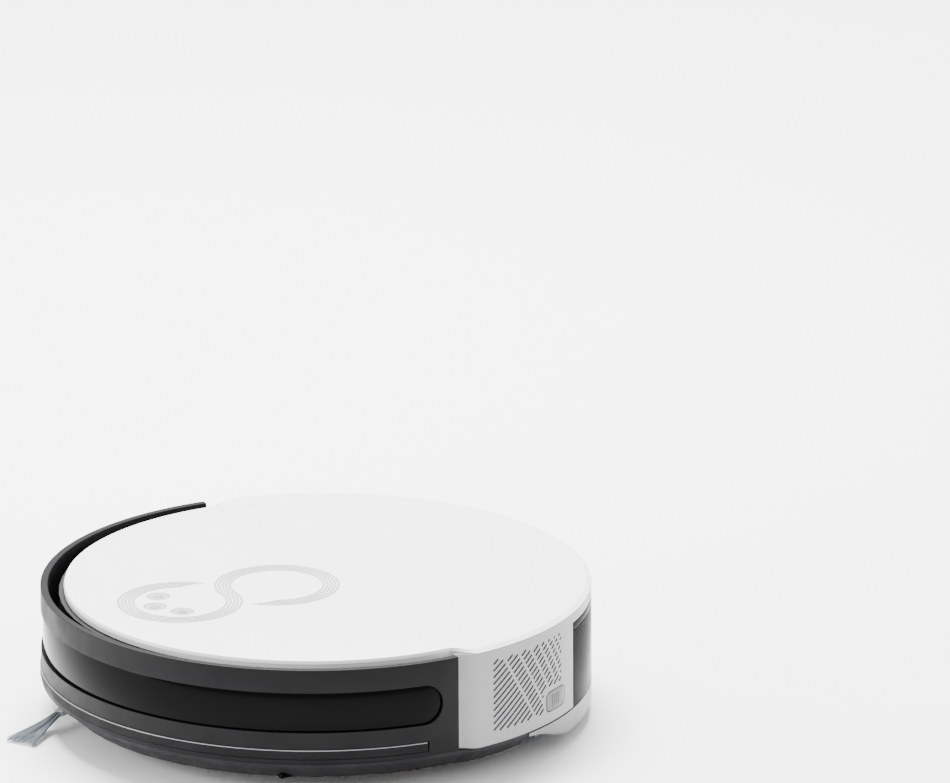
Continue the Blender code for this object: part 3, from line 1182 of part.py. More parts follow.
def main():
    clear_scene()
    make_top_cover()
    make_buttons()
    make_bumper()
    make_bumper_springs()
    make_side_shell()
    make_latches()
    make_contacts()
    make_inner_frame()
    make_base_pan()
    make_pan_fittings()
    make_dust_bin()
    make_mop()
    make_wheel("left", 1)
    make_wheel("right", -1)
    make_caster()
    make_main_brush()
    make_side_brush()
    make_electronics()
    make_fan()


main()
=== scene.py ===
# %% [markdown]
# # A robot vacuum cleaner
#
# The object is a flat round floor robot: a white cover over a black frame, a sprung bumper
# round the front half, a silver shell and a smoky dust bin round the rear. The moving frame is
# loaded first, and each cell after it makes one visible piece at the size the frame gives.

# %% Load the frame
import bmesh
import bpy
import json
import math
import random
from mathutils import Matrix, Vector

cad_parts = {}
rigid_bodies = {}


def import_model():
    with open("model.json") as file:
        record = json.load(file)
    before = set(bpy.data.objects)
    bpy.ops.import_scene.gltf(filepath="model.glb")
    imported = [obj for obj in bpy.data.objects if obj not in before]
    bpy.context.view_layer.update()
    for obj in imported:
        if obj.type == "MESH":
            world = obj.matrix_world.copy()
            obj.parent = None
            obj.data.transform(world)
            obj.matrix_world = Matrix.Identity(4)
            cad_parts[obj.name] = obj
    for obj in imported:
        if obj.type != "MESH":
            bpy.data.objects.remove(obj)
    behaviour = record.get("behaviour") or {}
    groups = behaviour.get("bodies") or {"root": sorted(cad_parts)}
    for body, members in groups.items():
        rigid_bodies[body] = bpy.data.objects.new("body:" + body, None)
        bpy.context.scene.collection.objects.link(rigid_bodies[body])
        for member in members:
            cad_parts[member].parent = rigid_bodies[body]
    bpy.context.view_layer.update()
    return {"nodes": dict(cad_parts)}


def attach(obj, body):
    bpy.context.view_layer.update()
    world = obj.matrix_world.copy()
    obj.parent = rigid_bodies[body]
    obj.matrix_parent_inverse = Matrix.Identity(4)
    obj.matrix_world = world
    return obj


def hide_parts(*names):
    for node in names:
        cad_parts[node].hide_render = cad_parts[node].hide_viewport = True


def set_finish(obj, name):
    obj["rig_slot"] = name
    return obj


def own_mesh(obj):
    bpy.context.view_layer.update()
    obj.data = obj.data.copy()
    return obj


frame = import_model()

# %% [markdown]
# ## Working in millimetres
#
# The real parts are drawn in millimetres, and Blender works in metres here, so every size
# is multiplied by `MM`. The small helpers below keep one piece selected, pick faces by their
# place, cut one solid from another, and settle a finished piece at the origin.

# %% Selecting and settling
MM = 0.001


def only(piece):
    """Leave one piece selected and active."""
    bpy.ops.object.select_all(action="DESELECT")
    piece.select_set(True)
    bpy.context.view_layer.objects.active = piece


def settle(piece, name=None):
    """Move place, turn and scale into the mesh, so that the object sits at the origin."""
    only(piece)
    bpy.ops.object.transform_apply(location=True, rotation=True, scale=True)
    if name:
        piece.name = name
        piece.data.name = name
    return piece


def edit(piece, kind="FACE"):
    """Open a piece in edit mode with nothing selected."""
    only(piece)
    bpy.ops.object.mode_set(mode="EDIT")
    bpy.ops.mesh.select_mode(type=kind)
    bpy.ops.mesh.select_all(action="DESELECT")


def done():
    """Leave edit mode."""
    bpy.ops.object.mode_set(mode="OBJECT")


def pick_faces(piece, test):
    """In edit mode, select the faces whose centre and normal pass a test."""
    mesh = bmesh.from_edit_mesh(piece.data)
    for face in mesh.faces:
        face.select_set(test(face.calc_center_median(), face.normal))
    bmesh.update_edit_mesh(piece.data)


def pick_edges(piece, test):
    """In edit mode, select the edges whose middle and direction pass a test."""
    mesh = bmesh.from_edit_mesh(piece.data)
    for edge in mesh.edges:
        ends = [v.co for v in edge.verts]
        middle = (ends[0] + ends[1]) / 2
        along = (ends[1] - ends[0]).normalized()
        edge.select_set(test(middle, along))
    bmesh.update_edit_mesh(piece.data)


def outward(piece):
    """Merge doubles and point every face outwards."""
    edit(piece)
    bpy.ops.mesh.select_all(action="SELECT")
    bpy.ops.mesh.remove_doubles(threshold=0.002 * MM)
    bpy.ops.mesh.normals_make_consistent(inside=False)
    done()


# %% Starting shapes
def block(name, low, high):
    """A box between two corners, in millimetres."""
    bpy.ops.object.select_all(action="DESELECT")
    middle = [(a + b) / 2 * MM for a, b in zip(low, high)]
    sizes = [(b - a) * MM for a, b in zip(low, high)]
    bpy.ops.mesh.primitive_cube_add(size=1, location=middle, scale=sizes)
    return settle(bpy.context.object, name)


def lathe(name, rings, place=(0.0, 0.0), sides=96):
    """A filled circle extruded and scaled through a list of (radius, height)."""
    bpy.ops.object.select_all(action="DESELECT")
    x, y = place[0] * MM, place[1] * MM
    radius, height = rings[0]
    bpy.ops.mesh.primitive_circle_add(vertices=sides, radius=radius * MM, fill_type="NGON",
                                      location=(x, y, height * MM))
    piece = settle(bpy.context.object, name)
    edit(piece)
    bpy.ops.mesh.select_all(action="SELECT")
    for next_radius, next_height in rings[1:]:
        rise = (next_height - height) * MM
        grow = next_radius / radius
        bpy.ops.mesh.extrude_region_move(TRANSFORM_OT_translate={"value": (0, 0, rise)})
        bpy.ops.transform.resize(value=(grow, grow, 1), center_override=(x, y, 0))
        radius, height = next_radius, next_height
    done()
    outward(piece)
    return piece


# %% Cutting, rounding and smoothing
def use(piece, kind, **settings):
    """Add a modifier, set it and apply it."""
    only(piece)
    modifier = piece.modifiers.new(kind.lower(), kind)
    for key, value in settings.items():
        setattr(modifier, key, value)
    bpy.ops.object.modifier_apply(modifier=modifier.name)


def cut(piece, *cutters, operation="DIFFERENCE"):
    """Take cutters away from a piece, and throw the cutters away."""
    for cutter in cutters:
        use(piece, "BOOLEAN", object=cutter, operation=operation, solver="EXACT")
        bpy.data.objects.remove(cutter)


def rounded(piece, width, segments=2, limit=35):
    """Round every edge that is sharper than a limit."""
    use(piece, "BEVEL", width=width * MM, segments=segments, limit_method="ANGLE",
        angle_limit=math.radians(limit))


def smooth(piece, angle=32):
    """Smooth shading that keeps the sharp edges."""
    only(piece)
    bpy.ops.object.shade_smooth_by_angle(angle=math.radians(angle))


def joined(pieces, name):
    """Join several meshes into one object."""
    only(pieces[0])
    for piece in pieces[1:]:
        piece.select_set(True)
    bpy.ops.object.join()
    return settle(pieces[0], name)


# %% [markdown]
# ## Flat first, then bent
#
# The ring-shaped mouldings (bumper, window, shell) are easiest to draw unrolled: x is the
# length along the arc, y the depth behind the outer face and z the height. Slots and grooves
# are cut while the strip is flat. The strip is then sliced with bisect at even steps, so that
# the Bend of a Simple Deform modifier has edges to fold at, and bent to its radius.

# %% Bending a flat strip
BEND_STEP = 0.75


def along(degrees, radius):
    """Arc length in millimetres of an angle at a radius."""
    return math.radians(degrees) * radius


def sliced(piece, radius, step=BEND_STEP):
    """Cut a flat strip into even steps along x."""
    xs = [v.co.x for v in piece.data.vertices]
    count = max(1, math.ceil(math.degrees((max(xs) - min(xs)) / (radius * MM)) / step))
    edit(piece)
    for number in range(1, count):
        place = min(xs) + (max(xs) - min(xs)) * number / count
        bpy.ops.mesh.select_all(action="SELECT")
        bpy.ops.mesh.bisect(plane_co=(place, 0, 0), plane_no=(1, 0, 0))
    done()
    return piece


def bent(piece, radius, turn=0.0):
    """Bend a flat strip about the z axis, then turn it round the body."""
    only(piece)
    bpy.context.scene.cursor.location = (0, -radius * MM, 0)
    bpy.ops.object.origin_set(type="ORIGIN_CURSOR")
    xs = [v.co.x for v in piece.data.vertices]
    use(piece, "SIMPLE_DEFORM", deform_method="BEND", deform_axis="Z",
        angle=(max(xs) - min(xs)) / (radius * MM))
    settle(piece)
    if abs(min(xs) + max(xs)) > 1e-6:
        raise ValueError("a strip is bent about its own middle, so it has to be centred on x")
    piece.rotation_euler.z = math.radians(turn)
    return settle(piece)


print("ready")

# %% [markdown]
# ## Top cover
#
# On the real robot this is one injection-moulded plate of white ABS with a chamfered rim and a
# short skirt. A circle extruded and scaled ring by ring gives exactly that section. The front
# half is smaller, because the bumper stands round it, so the rings are drawn inwards there with
# a smooth step just behind the bumper's ends.

# %% Cover plate
TOP = 83.0
RIM_LOW = 80.8
UNDERSIDE = 80.6
SKIRT_LOW = 77.8
RIM = 163.5
CROWN = 160.6
SKIRT_OUT = 160.4
SKIRT_IN = 157.9
FRONT_OF = {CROWN: 150.3, RIM: 151.0, SKIRT_OUT: 150.7, SKIRT_IN: 148.2}
STEP_START = 93.5
STEP_END = 98.2


def eased(value, start, end):
    """0 up to start, 1 from end on, and smooth between."""
    share = min(1.0, max(0.0, (value - start) / (end - start)))
    return share * share * (3.0 - 2.0 * share)


def draw_in_front(piece):
    """Draw the rings of the cover in, over its front half."""
    for vertex in piece.data.vertices:
        radius = math.hypot(vertex.co.x, vertex.co.y)
        rear = min(FRONT_OF, key=lambda known: abs(known * MM - radius))
        angle = abs(math.degrees(math.atan2(vertex.co.x, -vertex.co.y)))
        share = 1.0 - eased(angle, STEP_START, STEP_END)
        wanted = rear + (FRONT_OF[rear] - rear) * share
        vertex.co.x *= wanted * MM / radius
        vertex.co.y *= wanted * MM / radius


cover = lathe("cover", [(SKIRT_IN, UNDERSIDE), (SKIRT_IN, SKIRT_LOW), (SKIRT_OUT, SKIRT_LOW),
                        (SKIRT_OUT, RIM_LOW), (RIM, RIM_LOW), (CROWN, TOP)], sides=720)
draw_in_front(cover)
rounded(cover, 0.45, 2, 25)
print("cover", len(cover.data.polygons), "faces")

# %% Button holes
BUTTONS = {"home_key": (-15.7, -98.0), "power_key": (0.0, -108.0), "spot_key": (15.7, -98.0)}
HOLE_R = 7.05
BELOW_COVER = 75.0
ABOVE_COVER = 85.0
for place in BUTTONS.values():
    cut(cover, lathe("hole", [(HOLE_R, BELOW_COVER), (HOLE_R, ABOVE_COVER)], place))
print(len(BUTTONS), "button holes")

# %% [markdown]
# ## Grooves on the cover
#
# Five fine parallel grooves run round the buttons and back round the empty ring behind them,
# like one long S. Each groove is cut with a thin round bar. The bar starts as a small circle at
# the middle of the S and is spun one way about the front ring and the other way about the rear.

# %% Groove bars
FRONT_RING = (0.0, -91.5)
REAR_RING = (0.0, -26.9)
MIDDLE_Y = -59.2
GROOVES = 5
GROOVE_STEP = 2.2
GROOVE_R = 0.78
GROOVE_RISE = 0.12
GROOVE_SWEEP = 300
GROOVE_STAGGER = 5
SPIN_STEPS = 110


def spun(centre, degrees):
    """Spin the selected face about an upright axis; plus is clockwise seen from above."""
    bpy.ops.mesh.spin(steps=SPIN_STEPS, angle=math.radians(degrees),
                      center=(centre[0] * MM, centre[1] * MM, 0), axis=(0, 0, 1))


def groove_bar(number):
    """One bar of the S, with its ends staggered against its neighbours'."""
    offset = (number - GROOVES // 2) * GROOVE_STEP
    start = Vector((0, (MIDDLE_Y + offset) * MM, (TOP + GROOVE_RISE) * MM))
    bpy.ops.object.select_all(action="DESELECT")
    bpy.ops.mesh.primitive_circle_add(vertices=12, radius=GROOVE_R * MM, fill_type="NGON",
                                      location=start, rotation=(0, math.pi / 2, 0))
    bar = settle(bpy.context.object, "groove")
    edit(bar)
    bpy.ops.mesh.select_all(action="SELECT")
    spun(FRONT_RING, GROOVE_SWEEP + GROOVE_STAGGER * number)
    bpy.ops.mesh.select_all(action="DESELECT")
    pick_faces(bar, lambda centre, normal: (centre - start).length < 0.02 * MM)
    spun(REAR_RING, GROOVE_SWEEP + GROOVE_STAGGER * (GROOVES - 1 - number))
    done()
    outward(bar)
    return bar


for number in range(GROOVES):
    cut(cover, groove_bar(number))
smooth(cover, 20)
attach(cover, "chassis")
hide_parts("top_cover")
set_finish(cover, "white_cover")
print("cover with grooves", len(cover.data.polygons), "faces")

# %% [markdown]
# ## Buttons
#
# Three round keys stand in the holes. Each has a thin stem that presses the switch below and a
# flange that keeps it in. The top is slightly dished for a fingertip, and carries a plain
# outline: a five-sided house for home, a ring with a bar for power, two rings for a spot clean.

# %% Keys
SYMBOL_FLOOR = 82.3
LINE = 0.5


def outline(sides, radius, place):
    """A thin ring standing through the key's top, used to engrave a line."""
    x, y = place
    bpy.ops.object.select_all(action="DESELECT")
    bpy.ops.mesh.primitive_circle_add(vertices=sides, radius=radius * MM, fill_type="NGON",
                                      location=(x * MM, y * MM, SYMBOL_FLOOR * MM))
    ring = settle(bpy.context.object, "outline")
    edit(ring)
    bpy.ops.mesh.select_all(action="SELECT")
    bpy.ops.mesh.inset(thickness=LINE * MM)
    bpy.ops.mesh.delete(type="FACE")
    bpy.ops.mesh.select_all(action="SELECT")
    bpy.ops.mesh.extrude_region_move(TRANSFORM_OT_translate={"value": (0, 0, 1 * MM)})
    done()
    outward(ring)
    return ring


def engraved(key, name, place):
    """Engrave the plain outline that belongs to a key."""
    x, y = place
    if name == "home_key":
        cut(key, outline(5, 2.7, place))
    elif name == "power_key":
        ring = outline(48, 2.5, place)
        cut(ring, block("gap", (x - 0.8, y + 1.0, 80), (x + 0.8, y + 4.0, ABOVE_COVER)))
        cut(key, ring)
        cut(key, block("bar", (x - LINE / 2, y + 0.6, SYMBOL_FLOOR), (x + LINE / 2, y + 3.0, 83.5)))
    else:
        cut(key, outline(48, 2.7, place))
        cut(key, outline(32, 1.3, place))


KEY_RINGS = [(2.2, 76.0), (2.2, 78.9), (7.95, 78.9), (7.95, 80.3), (6.75, 80.3),
             (6.75, 82.5), (6.45, 82.8), (5.4, 82.68), (3.6, 82.58), (1.4, 82.54)]
for name, place in BUTTONS.items():
    button = name.replace("_key", "_button")
    key = lathe(button + "_cap", KEY_RINGS, place)
    engraved(key, name, place)
    smooth(key, 20)
    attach(key, name)
    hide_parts(button)
    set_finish(key, "white_button")
    print(key.name, len(key.data.polygons), "faces")

# %% [markdown]
# ## Bumper
#
# A tough black moulding wraps round the front half and floats on two small springs. It is drawn
# as a flat bar. A long recess with round ends takes the window, a groove below takes the rubber
# strip, and a lip at the foot turns in under the body.

# %% Bumper bar
FACE = 165.0
BEYOND = 170.0
BUMPER_BACK = 160.5
BUMPER_LOW = 23.7
BUMPER_HIGH = 82.0
BUMPER_END = 92.8
LIP_BACK = 158.1
LIP_HIGH = 25.2
SEAM = 0.3
WINDOW_LOW = 43.5
WINDOW_HIGH = 67.5
WINDOW_END = 88.8
RUBBER_LOW = 26.8
RUBBER_HIGH = 32.7
RUBBER_END = 85.6


def strip(name, half_angle, radius, face, back, low, high):
    """A flat bar whose outer face will lie at radius `face` once it is bent."""
    half = along(half_angle, radius)
    return block(name, (-half, -face, low), (half, -back, high))


def round_ends(piece, reach):
    """Round the four upright corners of a flat strip as seen from the front."""
    edit(piece, "EDGE")
    pick_edges(piece, lambda middle, way: abs(way.y) > 0.9)
    bpy.ops.mesh.bevel(offset=reach * MM, segments=20, affect="EDGES")
    done()


bumper = strip("bumper_ring_moulding", BUMPER_END, FACE, FACE, BUMPER_BACK, BUMPER_LOW,
               BUMPER_HIGH)
rounded(bumper, 0.5, 3)
lip = strip("lip", BUMPER_END, FACE, BUMPER_BACK + 0.5, LIP_BACK, BUMPER_LOW, LIP_HIGH)
cut(bumper, lip, operation="UNION")
recess = strip("recess", WINDOW_END + SEAM, FACE, BEYOND, 161.7, WINDOW_LOW - SEAM,
               WINDOW_HIGH + SEAM)
round_ends(recess, 12.25)
cut(bumper, recess)
cut(bumper, strip("groove", RUBBER_END + SEAM, FACE, BEYOND, 163.0, RUBBER_LOW - SEAM,
                  RUBBER_HIGH + SEAM))
rounded(bumper, 0.55, 2, 50)
bent(sliced(bumper, FACE), FACE)
outward(bumper)
smooth(bumper, 30)
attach(bumper, "bumper_ring")
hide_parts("bumper")
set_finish(bumper, "black_bumper")
print("bumper", len(bumper.data.polygons), "faces")

# %% [markdown]
# ## Bumper window and strip
#
# The window is a gloss black strip that the sensors look through. It stops 0.3 mm short of its
# recess all round, which leaves the thin dark seam. Its front edge has a fine bevel that
# catches the light. The rubber strip below stands out 0.8 mm and meets furniture first.

# %% Window and strip
PANE = 163.8
window = strip("bumper_window_pane", WINDOW_END, FACE, PANE, 162.0, WINDOW_LOW, WINDOW_HIGH)
round_ends(window, 11.98)
edit(window, "EDGE")
pick_edges(window, lambda middle, way: middle.y < (0.1 - PANE) * MM and abs(way.y) < 0.1)
bpy.ops.mesh.bevel(offset=0.5 * MM, segments=2, affect="EDGES")
done()
bent(sliced(window, FACE), FACE)
outward(window)
smooth(window, 30)
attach(window, "bumper_ring")
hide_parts("bumper_window")
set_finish(window, "window_black")

rubber = strip("bumper_rubber", RUBBER_END, FACE, FACE + 0.8, 163.3, RUBBER_LOW, RUBBER_HIGH)
rounded(rubber, 0.9, 4)
bent(sliced(rubber, FACE), FACE)
outward(rubber)
smooth(rubber, 40)
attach(rubber, "bumper_ring")
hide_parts("bumper_strip")
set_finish(rubber, "soft_black")
print("window", len(window.data.polygons), "strip", len(rubber.data.polygons), "faces")

# %% [markdown]
# ## Bumper springs
#
# Two small wound springs push the bumper forwards. A wire section is carried round and along by
# a Screw modifier, and its open ends are filled.

# %% Springs
WIRE = 0.4
COIL_R = 3.45
COIL_TURNS = 6
SPRING_REAR = -137.0
SPRING_FRONT = -153.6
SPRING_Z = 38.0
for side, word in ((1, "left"), (-1, "right")):
    bpy.ops.object.select_all(action="DESELECT")
    bpy.ops.mesh.primitive_circle_add(vertices=10, radius=WIRE * MM, rotation=(math.pi / 2, 0, 0),
                                      location=(COIL_R * MM, 0, 0))
    spring = settle(bpy.context.object, "bumper_coil_" + word)
    length = SPRING_REAR - SPRING_FRONT - 2 * WIRE
    use(spring, "SCREW", axis="Z", screw_offset=length / COIL_TURNS * MM, iterations=COIL_TURNS,
        steps=28, render_steps=28)
    edit(spring, "EDGE")
    bpy.ops.mesh.select_all(action="SELECT")
    bpy.ops.mesh.fill_holes(sides=0)
    done()
    spring.rotation_euler.x = math.pi / 2
    spring.location = (side * 40.1 * MM, (SPRING_REAR - WIRE) * MM, SPRING_Z * MM)
    settle(spring)
    outward(spring)
    smooth(spring, 50)
    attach(spring, "chassis")
    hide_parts("bumper_spring_" + word)
    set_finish(spring, "spring_steel")
    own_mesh(spring)
    print(spring.name, len(spring.data.polygons), "faces")

# %% [markdown]
# ## Side shell
#
# One silver moulding runs round the rear half. It steps in behind the bumper's ends, leaves a
# wide opening for the bin and carries a grille of slanted slots on each side, through which the
# fan blows out. The slots are long near the front and break into shorter dashes towards the
# bin, so they are laid out line by line and joined into one cutter.

# %% Shell strip
SHELL = RIM
SHELL_BACK = 161.0
SHELL_LOW = 22.1
SHELL_HIGH = 80.5
SHELL_HALF = 86.5
OPENING_TOP = 74.8
CUT_IN = 150
shell = strip("rear_shell", SHELL_HALF, SHELL, SHELL, SHELL_BACK, SHELL_LOW, SHELL_HIGH)
opening = along(49.7, SHELL)
cut(shell, block("opening", (-opening, -BEYOND, 10), (opening, -CUT_IN, OPENING_TOP)))
print("shell strip", len(shell.data.polygons), "faces")

# %% Grille slots
GRILLE_NEAR = 55.6
GRILLE_FAR = 78.2
GRILLE_LOW = 29.5
GRILLE_HIGH = 74.2
SLOT_PITCH = 4.1
SLOT_SLOPE = math.radians(35)
LATCH_AT = 58.0
LATCH_CLEAR = 13.6
LATCH_CLEAR_TOP = 44.5
DASHES = (9.0, 7.5, 6.0, 4.8, 3.8, 3.0, 2.4)
LONG_BAND = 7.0
LONG_SLANT = 0.62
SHORTEST = 1.6
LINE_REACH = 90.0
LINE_STEP = 0.25
FIRST_LINE = GRILLE_LOW - 36.0
SLOT_GAP = 1.5
# The slots are cut SLOT_DEPTH deep, not through the shell; further down their floors are tinted
# dark grey as painted shade.
SLOT_DEPTH = 0.8
SLOT_WIDTH = 1.6


def in_grille(u, z):
    """Whether a point of the flat shell lies in the grille and clear of the latch."""
    latch = along(LATCH_AT, SHELL)
    if not along(GRILLE_NEAR, SHELL) <= u <= along(GRILLE_FAR, SHELL):
        return False
    if not GRILLE_LOW <= z <= GRILLE_HIGH:
        return False
    return not (abs(u - latch) < LATCH_CLEAR and z < LATCH_CLEAR_TOP)


def dash_ends(front_height):
    """Start and end of each dash on one slanted line, measured along the line."""
    reach = 0.0
    limit = 0.0
    far = along(GRILLE_FAR, SHELL)
    spans = []
    start = None
    number = -1
    while reach < LINE_REACH:
        u = far - reach * math.cos(SLOT_SLOPE)
        z = front_height + reach * math.sin(SLOT_SLOPE)
        boundary = far - LONG_BAND - (GRILLE_HIGH - z) * LONG_SLANT
        inside = in_grille(u, z)
        if inside and start is None and reach >= limit:
            start = reach
            long_one = u > boundary
            if not long_one:
                number += 1
        if start is not None:
            length = reach - start
            dash = DASHES[min(number, len(DASHES) - 1)]
            full = u < boundary if long_one else length >= dash
            if not inside or full:
                if length > SHORTEST:
                    spans.append((start, reach))
                start = None
                limit = reach + SLOT_GAP
        reach += LINE_STEP
    return spans


def slot_bar(start, end, front_height):
    """One round-ended slot cutter on the flat shell."""
    far = along(GRILLE_FAR, SHELL)
    half = SLOT_WIDTH / 2
    bar = block("slot", (start, -BEYOND, -half), (end, -SHELL + SLOT_DEPTH, half))
    edit(bar, "EDGE")
    pick_edges(bar, lambda middle, way: abs(way.y) > 0.9)
    bpy.ops.mesh.bevel(offset=half * 0.98 * MM, segments=3, affect="EDGES")
    done()
    bar.rotation_euler.y = math.pi + SLOT_SLOPE
    bar.location = (far * MM, 0, front_height * MM)
    return settle(bar)


slots = []
height = FIRST_LINE
while height < GRILLE_HIGH:
    for start, end in dash_ends(height):
        slots.append(slot_bar(start, end, height))
    height += SLOT_PITCH
grille = joined(slots, "grille")
outward(grille)
print("grille", len(slots), "slots")

# %% Cut both grilles, latch windows and the step
LATCH_HALF = 10.7
LATCH_LOW = 29.0
LATCH_HIGH = 41.0
LATCH_GAP = 0.5
STEP_DEPTH = 6.5
mirrored = grille.copy()
mirrored.data = grille.data.copy()
bpy.context.collection.objects.link(mirrored)
mirrored.scale.x = -1
settle(mirrored)
outward(mirrored)
cut(shell, grille, mirrored)
for side in (-1, 1):
    middle = side * along(LATCH_AT, SHELL)
    reach = LATCH_HALF + LATCH_GAP
    hole = block("latch_hole", (middle - reach, -BEYOND, LATCH_LOW - LATCH_GAP),
                 (middle + reach, -CUT_IN, LATCH_HIGH + LATCH_GAP))
    round_ends(hole, 4.2)
    cut(shell, hole)
sliced(shell, SHELL)
for vertex in shell.data.vertices:
    angle = 180 - math.degrees(abs(vertex.co.x) / (SHELL * MM))
    vertex.co.y += STEP_DEPTH * MM * (1.0 - eased(angle, STEP_START, STEP_END))
bent(shell, SHELL, 180)
outward(shell)
smooth(shell, 25)
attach(shell, "chassis")
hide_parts("side_shell")
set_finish(shell, "silver_shell")
print("shell", len(shell.data.polygons), "faces")

# %% [markdown]
# ## Bin latches
#
# A rounded push button stands in each side of the shell. Pressing both frees the bin. Four
# upright ridges give a grip: they are bars joined to the face before the button is bent.

# %% Latch buttons
LATCH_BACK = 159.9
RIDGES = 4
RIDGE_PITCH = 2.4
for side, word in ((1, "left"), (-1, "right")):
    latch = block("latch_%s_button" % word, (-LATCH_HALF, -163.6, LATCH_LOW),
                  (LATCH_HALF, -LATCH_BACK, LATCH_HIGH))
    round_ends(latch, 3.9)
    for number in range(RIDGES):
        middle = -3.6 + RIDGE_PITCH * number
        ridge = block("ridge", (middle - 0.5, -163.9, 31.5), (middle + 0.5, -162.0, 38.5))
        cut(latch, ridge, operation="UNION")
    rounded(latch, 0.22, 2)
    bent(sliced(latch, SHELL), SHELL, 180 - side * LATCH_AT)
    outward(latch)
    smooth(latch, 30)
    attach(latch, "latch_%s_body" % word)
    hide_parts("latch_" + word)
    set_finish(latch, "light_grey")
    print(latch.name, len(latch.data.polygons), "faces")

# %% [markdown]
# ## Dust bin
#
# The bin is a tub of smoke-tinted clear plastic, so the eye sees into it through the rear wall.
# A disc is trimmed to the bin's outline with bisect, its top face is inset by the wall and
# extruded down, and the inlet, filter seat and emptying port are cut out.

# %% Tub and lid
def trimmed(piece, planes):
    """Cut a solid away beyond each plane (point, direction), and close it."""
    for point, way in planes:
        edit(piece)
        bpy.ops.mesh.select_all(action="SELECT")
        bpy.ops.mesh.bisect(plane_co=[c * MM for c in point], plane_no=way, use_fill=True,
                            clear_outer=True)
        done()
    return piece


BIN_FRONT = 66.0
BIN_SIDE = 124.3
BIN_PLANES = [((0, BIN_FRONT, 0), (0, -1, 0)), ((BIN_SIDE, 0, 0), (1, 0, 0)),
              ((-BIN_SIDE, 0, 0), (-1, 0, 0))]
TUB_LOW = 21.3
TUB_HIGH = 69.5
LID_LOW = 69.8
LID_HIGH = 74.5
WALL = 2.0


def hollowed(piece, upward, depth):
    """Inset the top or bottom face by the wall and push it into the solid."""
    edit(piece)
    pick_faces(piece, lambda centre, normal: normal.z * upward > 0.9)
    bpy.ops.mesh.inset(thickness=WALL * MM)
    push = (0, 0, -upward * depth * MM)
    bpy.ops.mesh.extrude_region_move(TRANSFORM_OT_translate={"value": push})
    done()
    outward(piece)


tub = trimmed(lathe("bin_tub", [(RIM, TUB_LOW), (RIM, TUB_HIGH)], sides=480), BIN_PLANES)
hollowed(tub, 1, TUB_HIGH - TUB_LOW - WALL)
cut(tub, block("inlet", (-38, 60, 31), (38, 70, 45)))
cut(tub, block("seat", (8, 60, 51.5), (72, 70, 67)))
cut(tub, block("port", (-22, 150, 30), (22, 170, 50)))
lid = trimmed(lathe("bin_cover", [(RIM, LID_LOW), (RIM, LID_HIGH)], sides=480), BIN_PLANES)
hollowed(lid, -1, LID_HIGH - LID_LOW - WALL)
for piece, node in ((tub, "dust_bin"), (lid, "bin_lid")):
    rounded(piece, 0.3, 2)
    smooth(piece, 25)
    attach(piece, "bin")
    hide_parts(node)
    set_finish(piece, "smoke_clear")
    print(piece.name, len(piece.data.polygons), "faces")

# %% [markdown]
# ## Mop plate and pad
#
# The plate clips on under the bin and carries a wet cloth pad. Its underside ramps up at the
# front so that it rides over a carpet edge: the disc is sliced there and the lower points are
# lifted along a smooth curve. The pad is a cushion of looped microfibre, made from the trimmed
# disc by a voxel remesh and a fine uneven displacement.

# %% Mop plate
PLATE_LOW = 6.4
PLATE_HIGH = 21.0
PLATE_FRONT = 62.0
RAMP_END = 105.0
RAMP_LIFT = 12.0
RAMP_SLICES = 12
plate = trimmed(lathe("mop_holder", [(RIM, PLATE_LOW), (RIM, PLATE_HIGH)], sides=480),
                [((0, PLATE_FRONT, 0), (0, -1, 0))])
edit(plate, "EDGE")
pick_edges(plate, lambda middle, way: middle.z < (PLATE_LOW + 0.1) * MM
           and middle.xy.length > (RIM - 0.2) * MM)
bpy.ops.mesh.bevel(offset=4.0 * MM, segments=6, affect="EDGES")
done()
for number in range(1, RAMP_SLICES + 1):
    edit(plate)
    bpy.ops.mesh.select_all(action="SELECT")
    place = PLATE_FRONT + (RAMP_END - PLATE_FRONT) * number / RAMP_SLICES
    bpy.ops.mesh.bisect(plane_co=(0, place * MM, 0), plane_no=(0, 1, 0))
    done()
for vertex in plate.data.vertices:
    lift = RAMP_LIFT * MM * (1.0 - eased(vertex.co.y / MM, PLATE_FRONT, RAMP_END))
    rise = (PLATE_HIGH * MM - vertex.co.z) / ((PLATE_HIGH - PLATE_LOW) * MM)
    vertex.co.z += lift * rise
outward(plate)
smooth(plate, 30)
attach(plate, "mop_module")
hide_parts("mop_plate")
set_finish(plate, "light_grey")
print("mop plate", len(plate.data.polygons), "faces")

# %% Mop pad
PAD_R = 142.6
PAD_FRONT = 86.3
PAD_LOW = 1.6
PAD_HIGH = 5.9
pad = trimmed(lathe("mop_cloth_pad", [(PAD_R, PAD_LOW), (PAD_R, PAD_HIGH)], sides=180),
              [((0, PAD_FRONT, 0), (0, -1, 0))])
rounded(pad, 1.9, 4)
use(pad, "REMESH", mode="VOXEL", voxel_size=1.6 * MM)
loops = bpy.data.textures.new("loops", "CLOUDS")
loops.noise_scale = 4 * MM
use(pad, "DISPLACE", texture=loops, strength=0.9 * MM, mid_level=0.5)
smooth(pad, 180)
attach(pad, "mop_module")
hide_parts("mop_pad")
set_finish(pad, "pad_cloth")
print("mop pad", len(pad.data.polygons), "faces")

# %% [markdown]
# ## Drive tyres
#
# Each drive wheel has a soft rubber tyre with two staggered rows of tread blocks. The tyre is a
# lathed drum, bored for its hub. Every second pair of faces is then picked by its angle and
# pushed out, once for each row.

# %% Tyres
WHEEL_AT = (116, 2, 35)
TYRE_R = 33.6
HALF_PROFILE = [(30.5, 11.0), (32.6, 9.6), (TYRE_R, 8.2), (TYRE_R, 0.6)]
BORE_R = 24.3
BLOCK_TURN = math.radians(10)
BLOCK_SHARE = 0.55
TREAD = 1.2


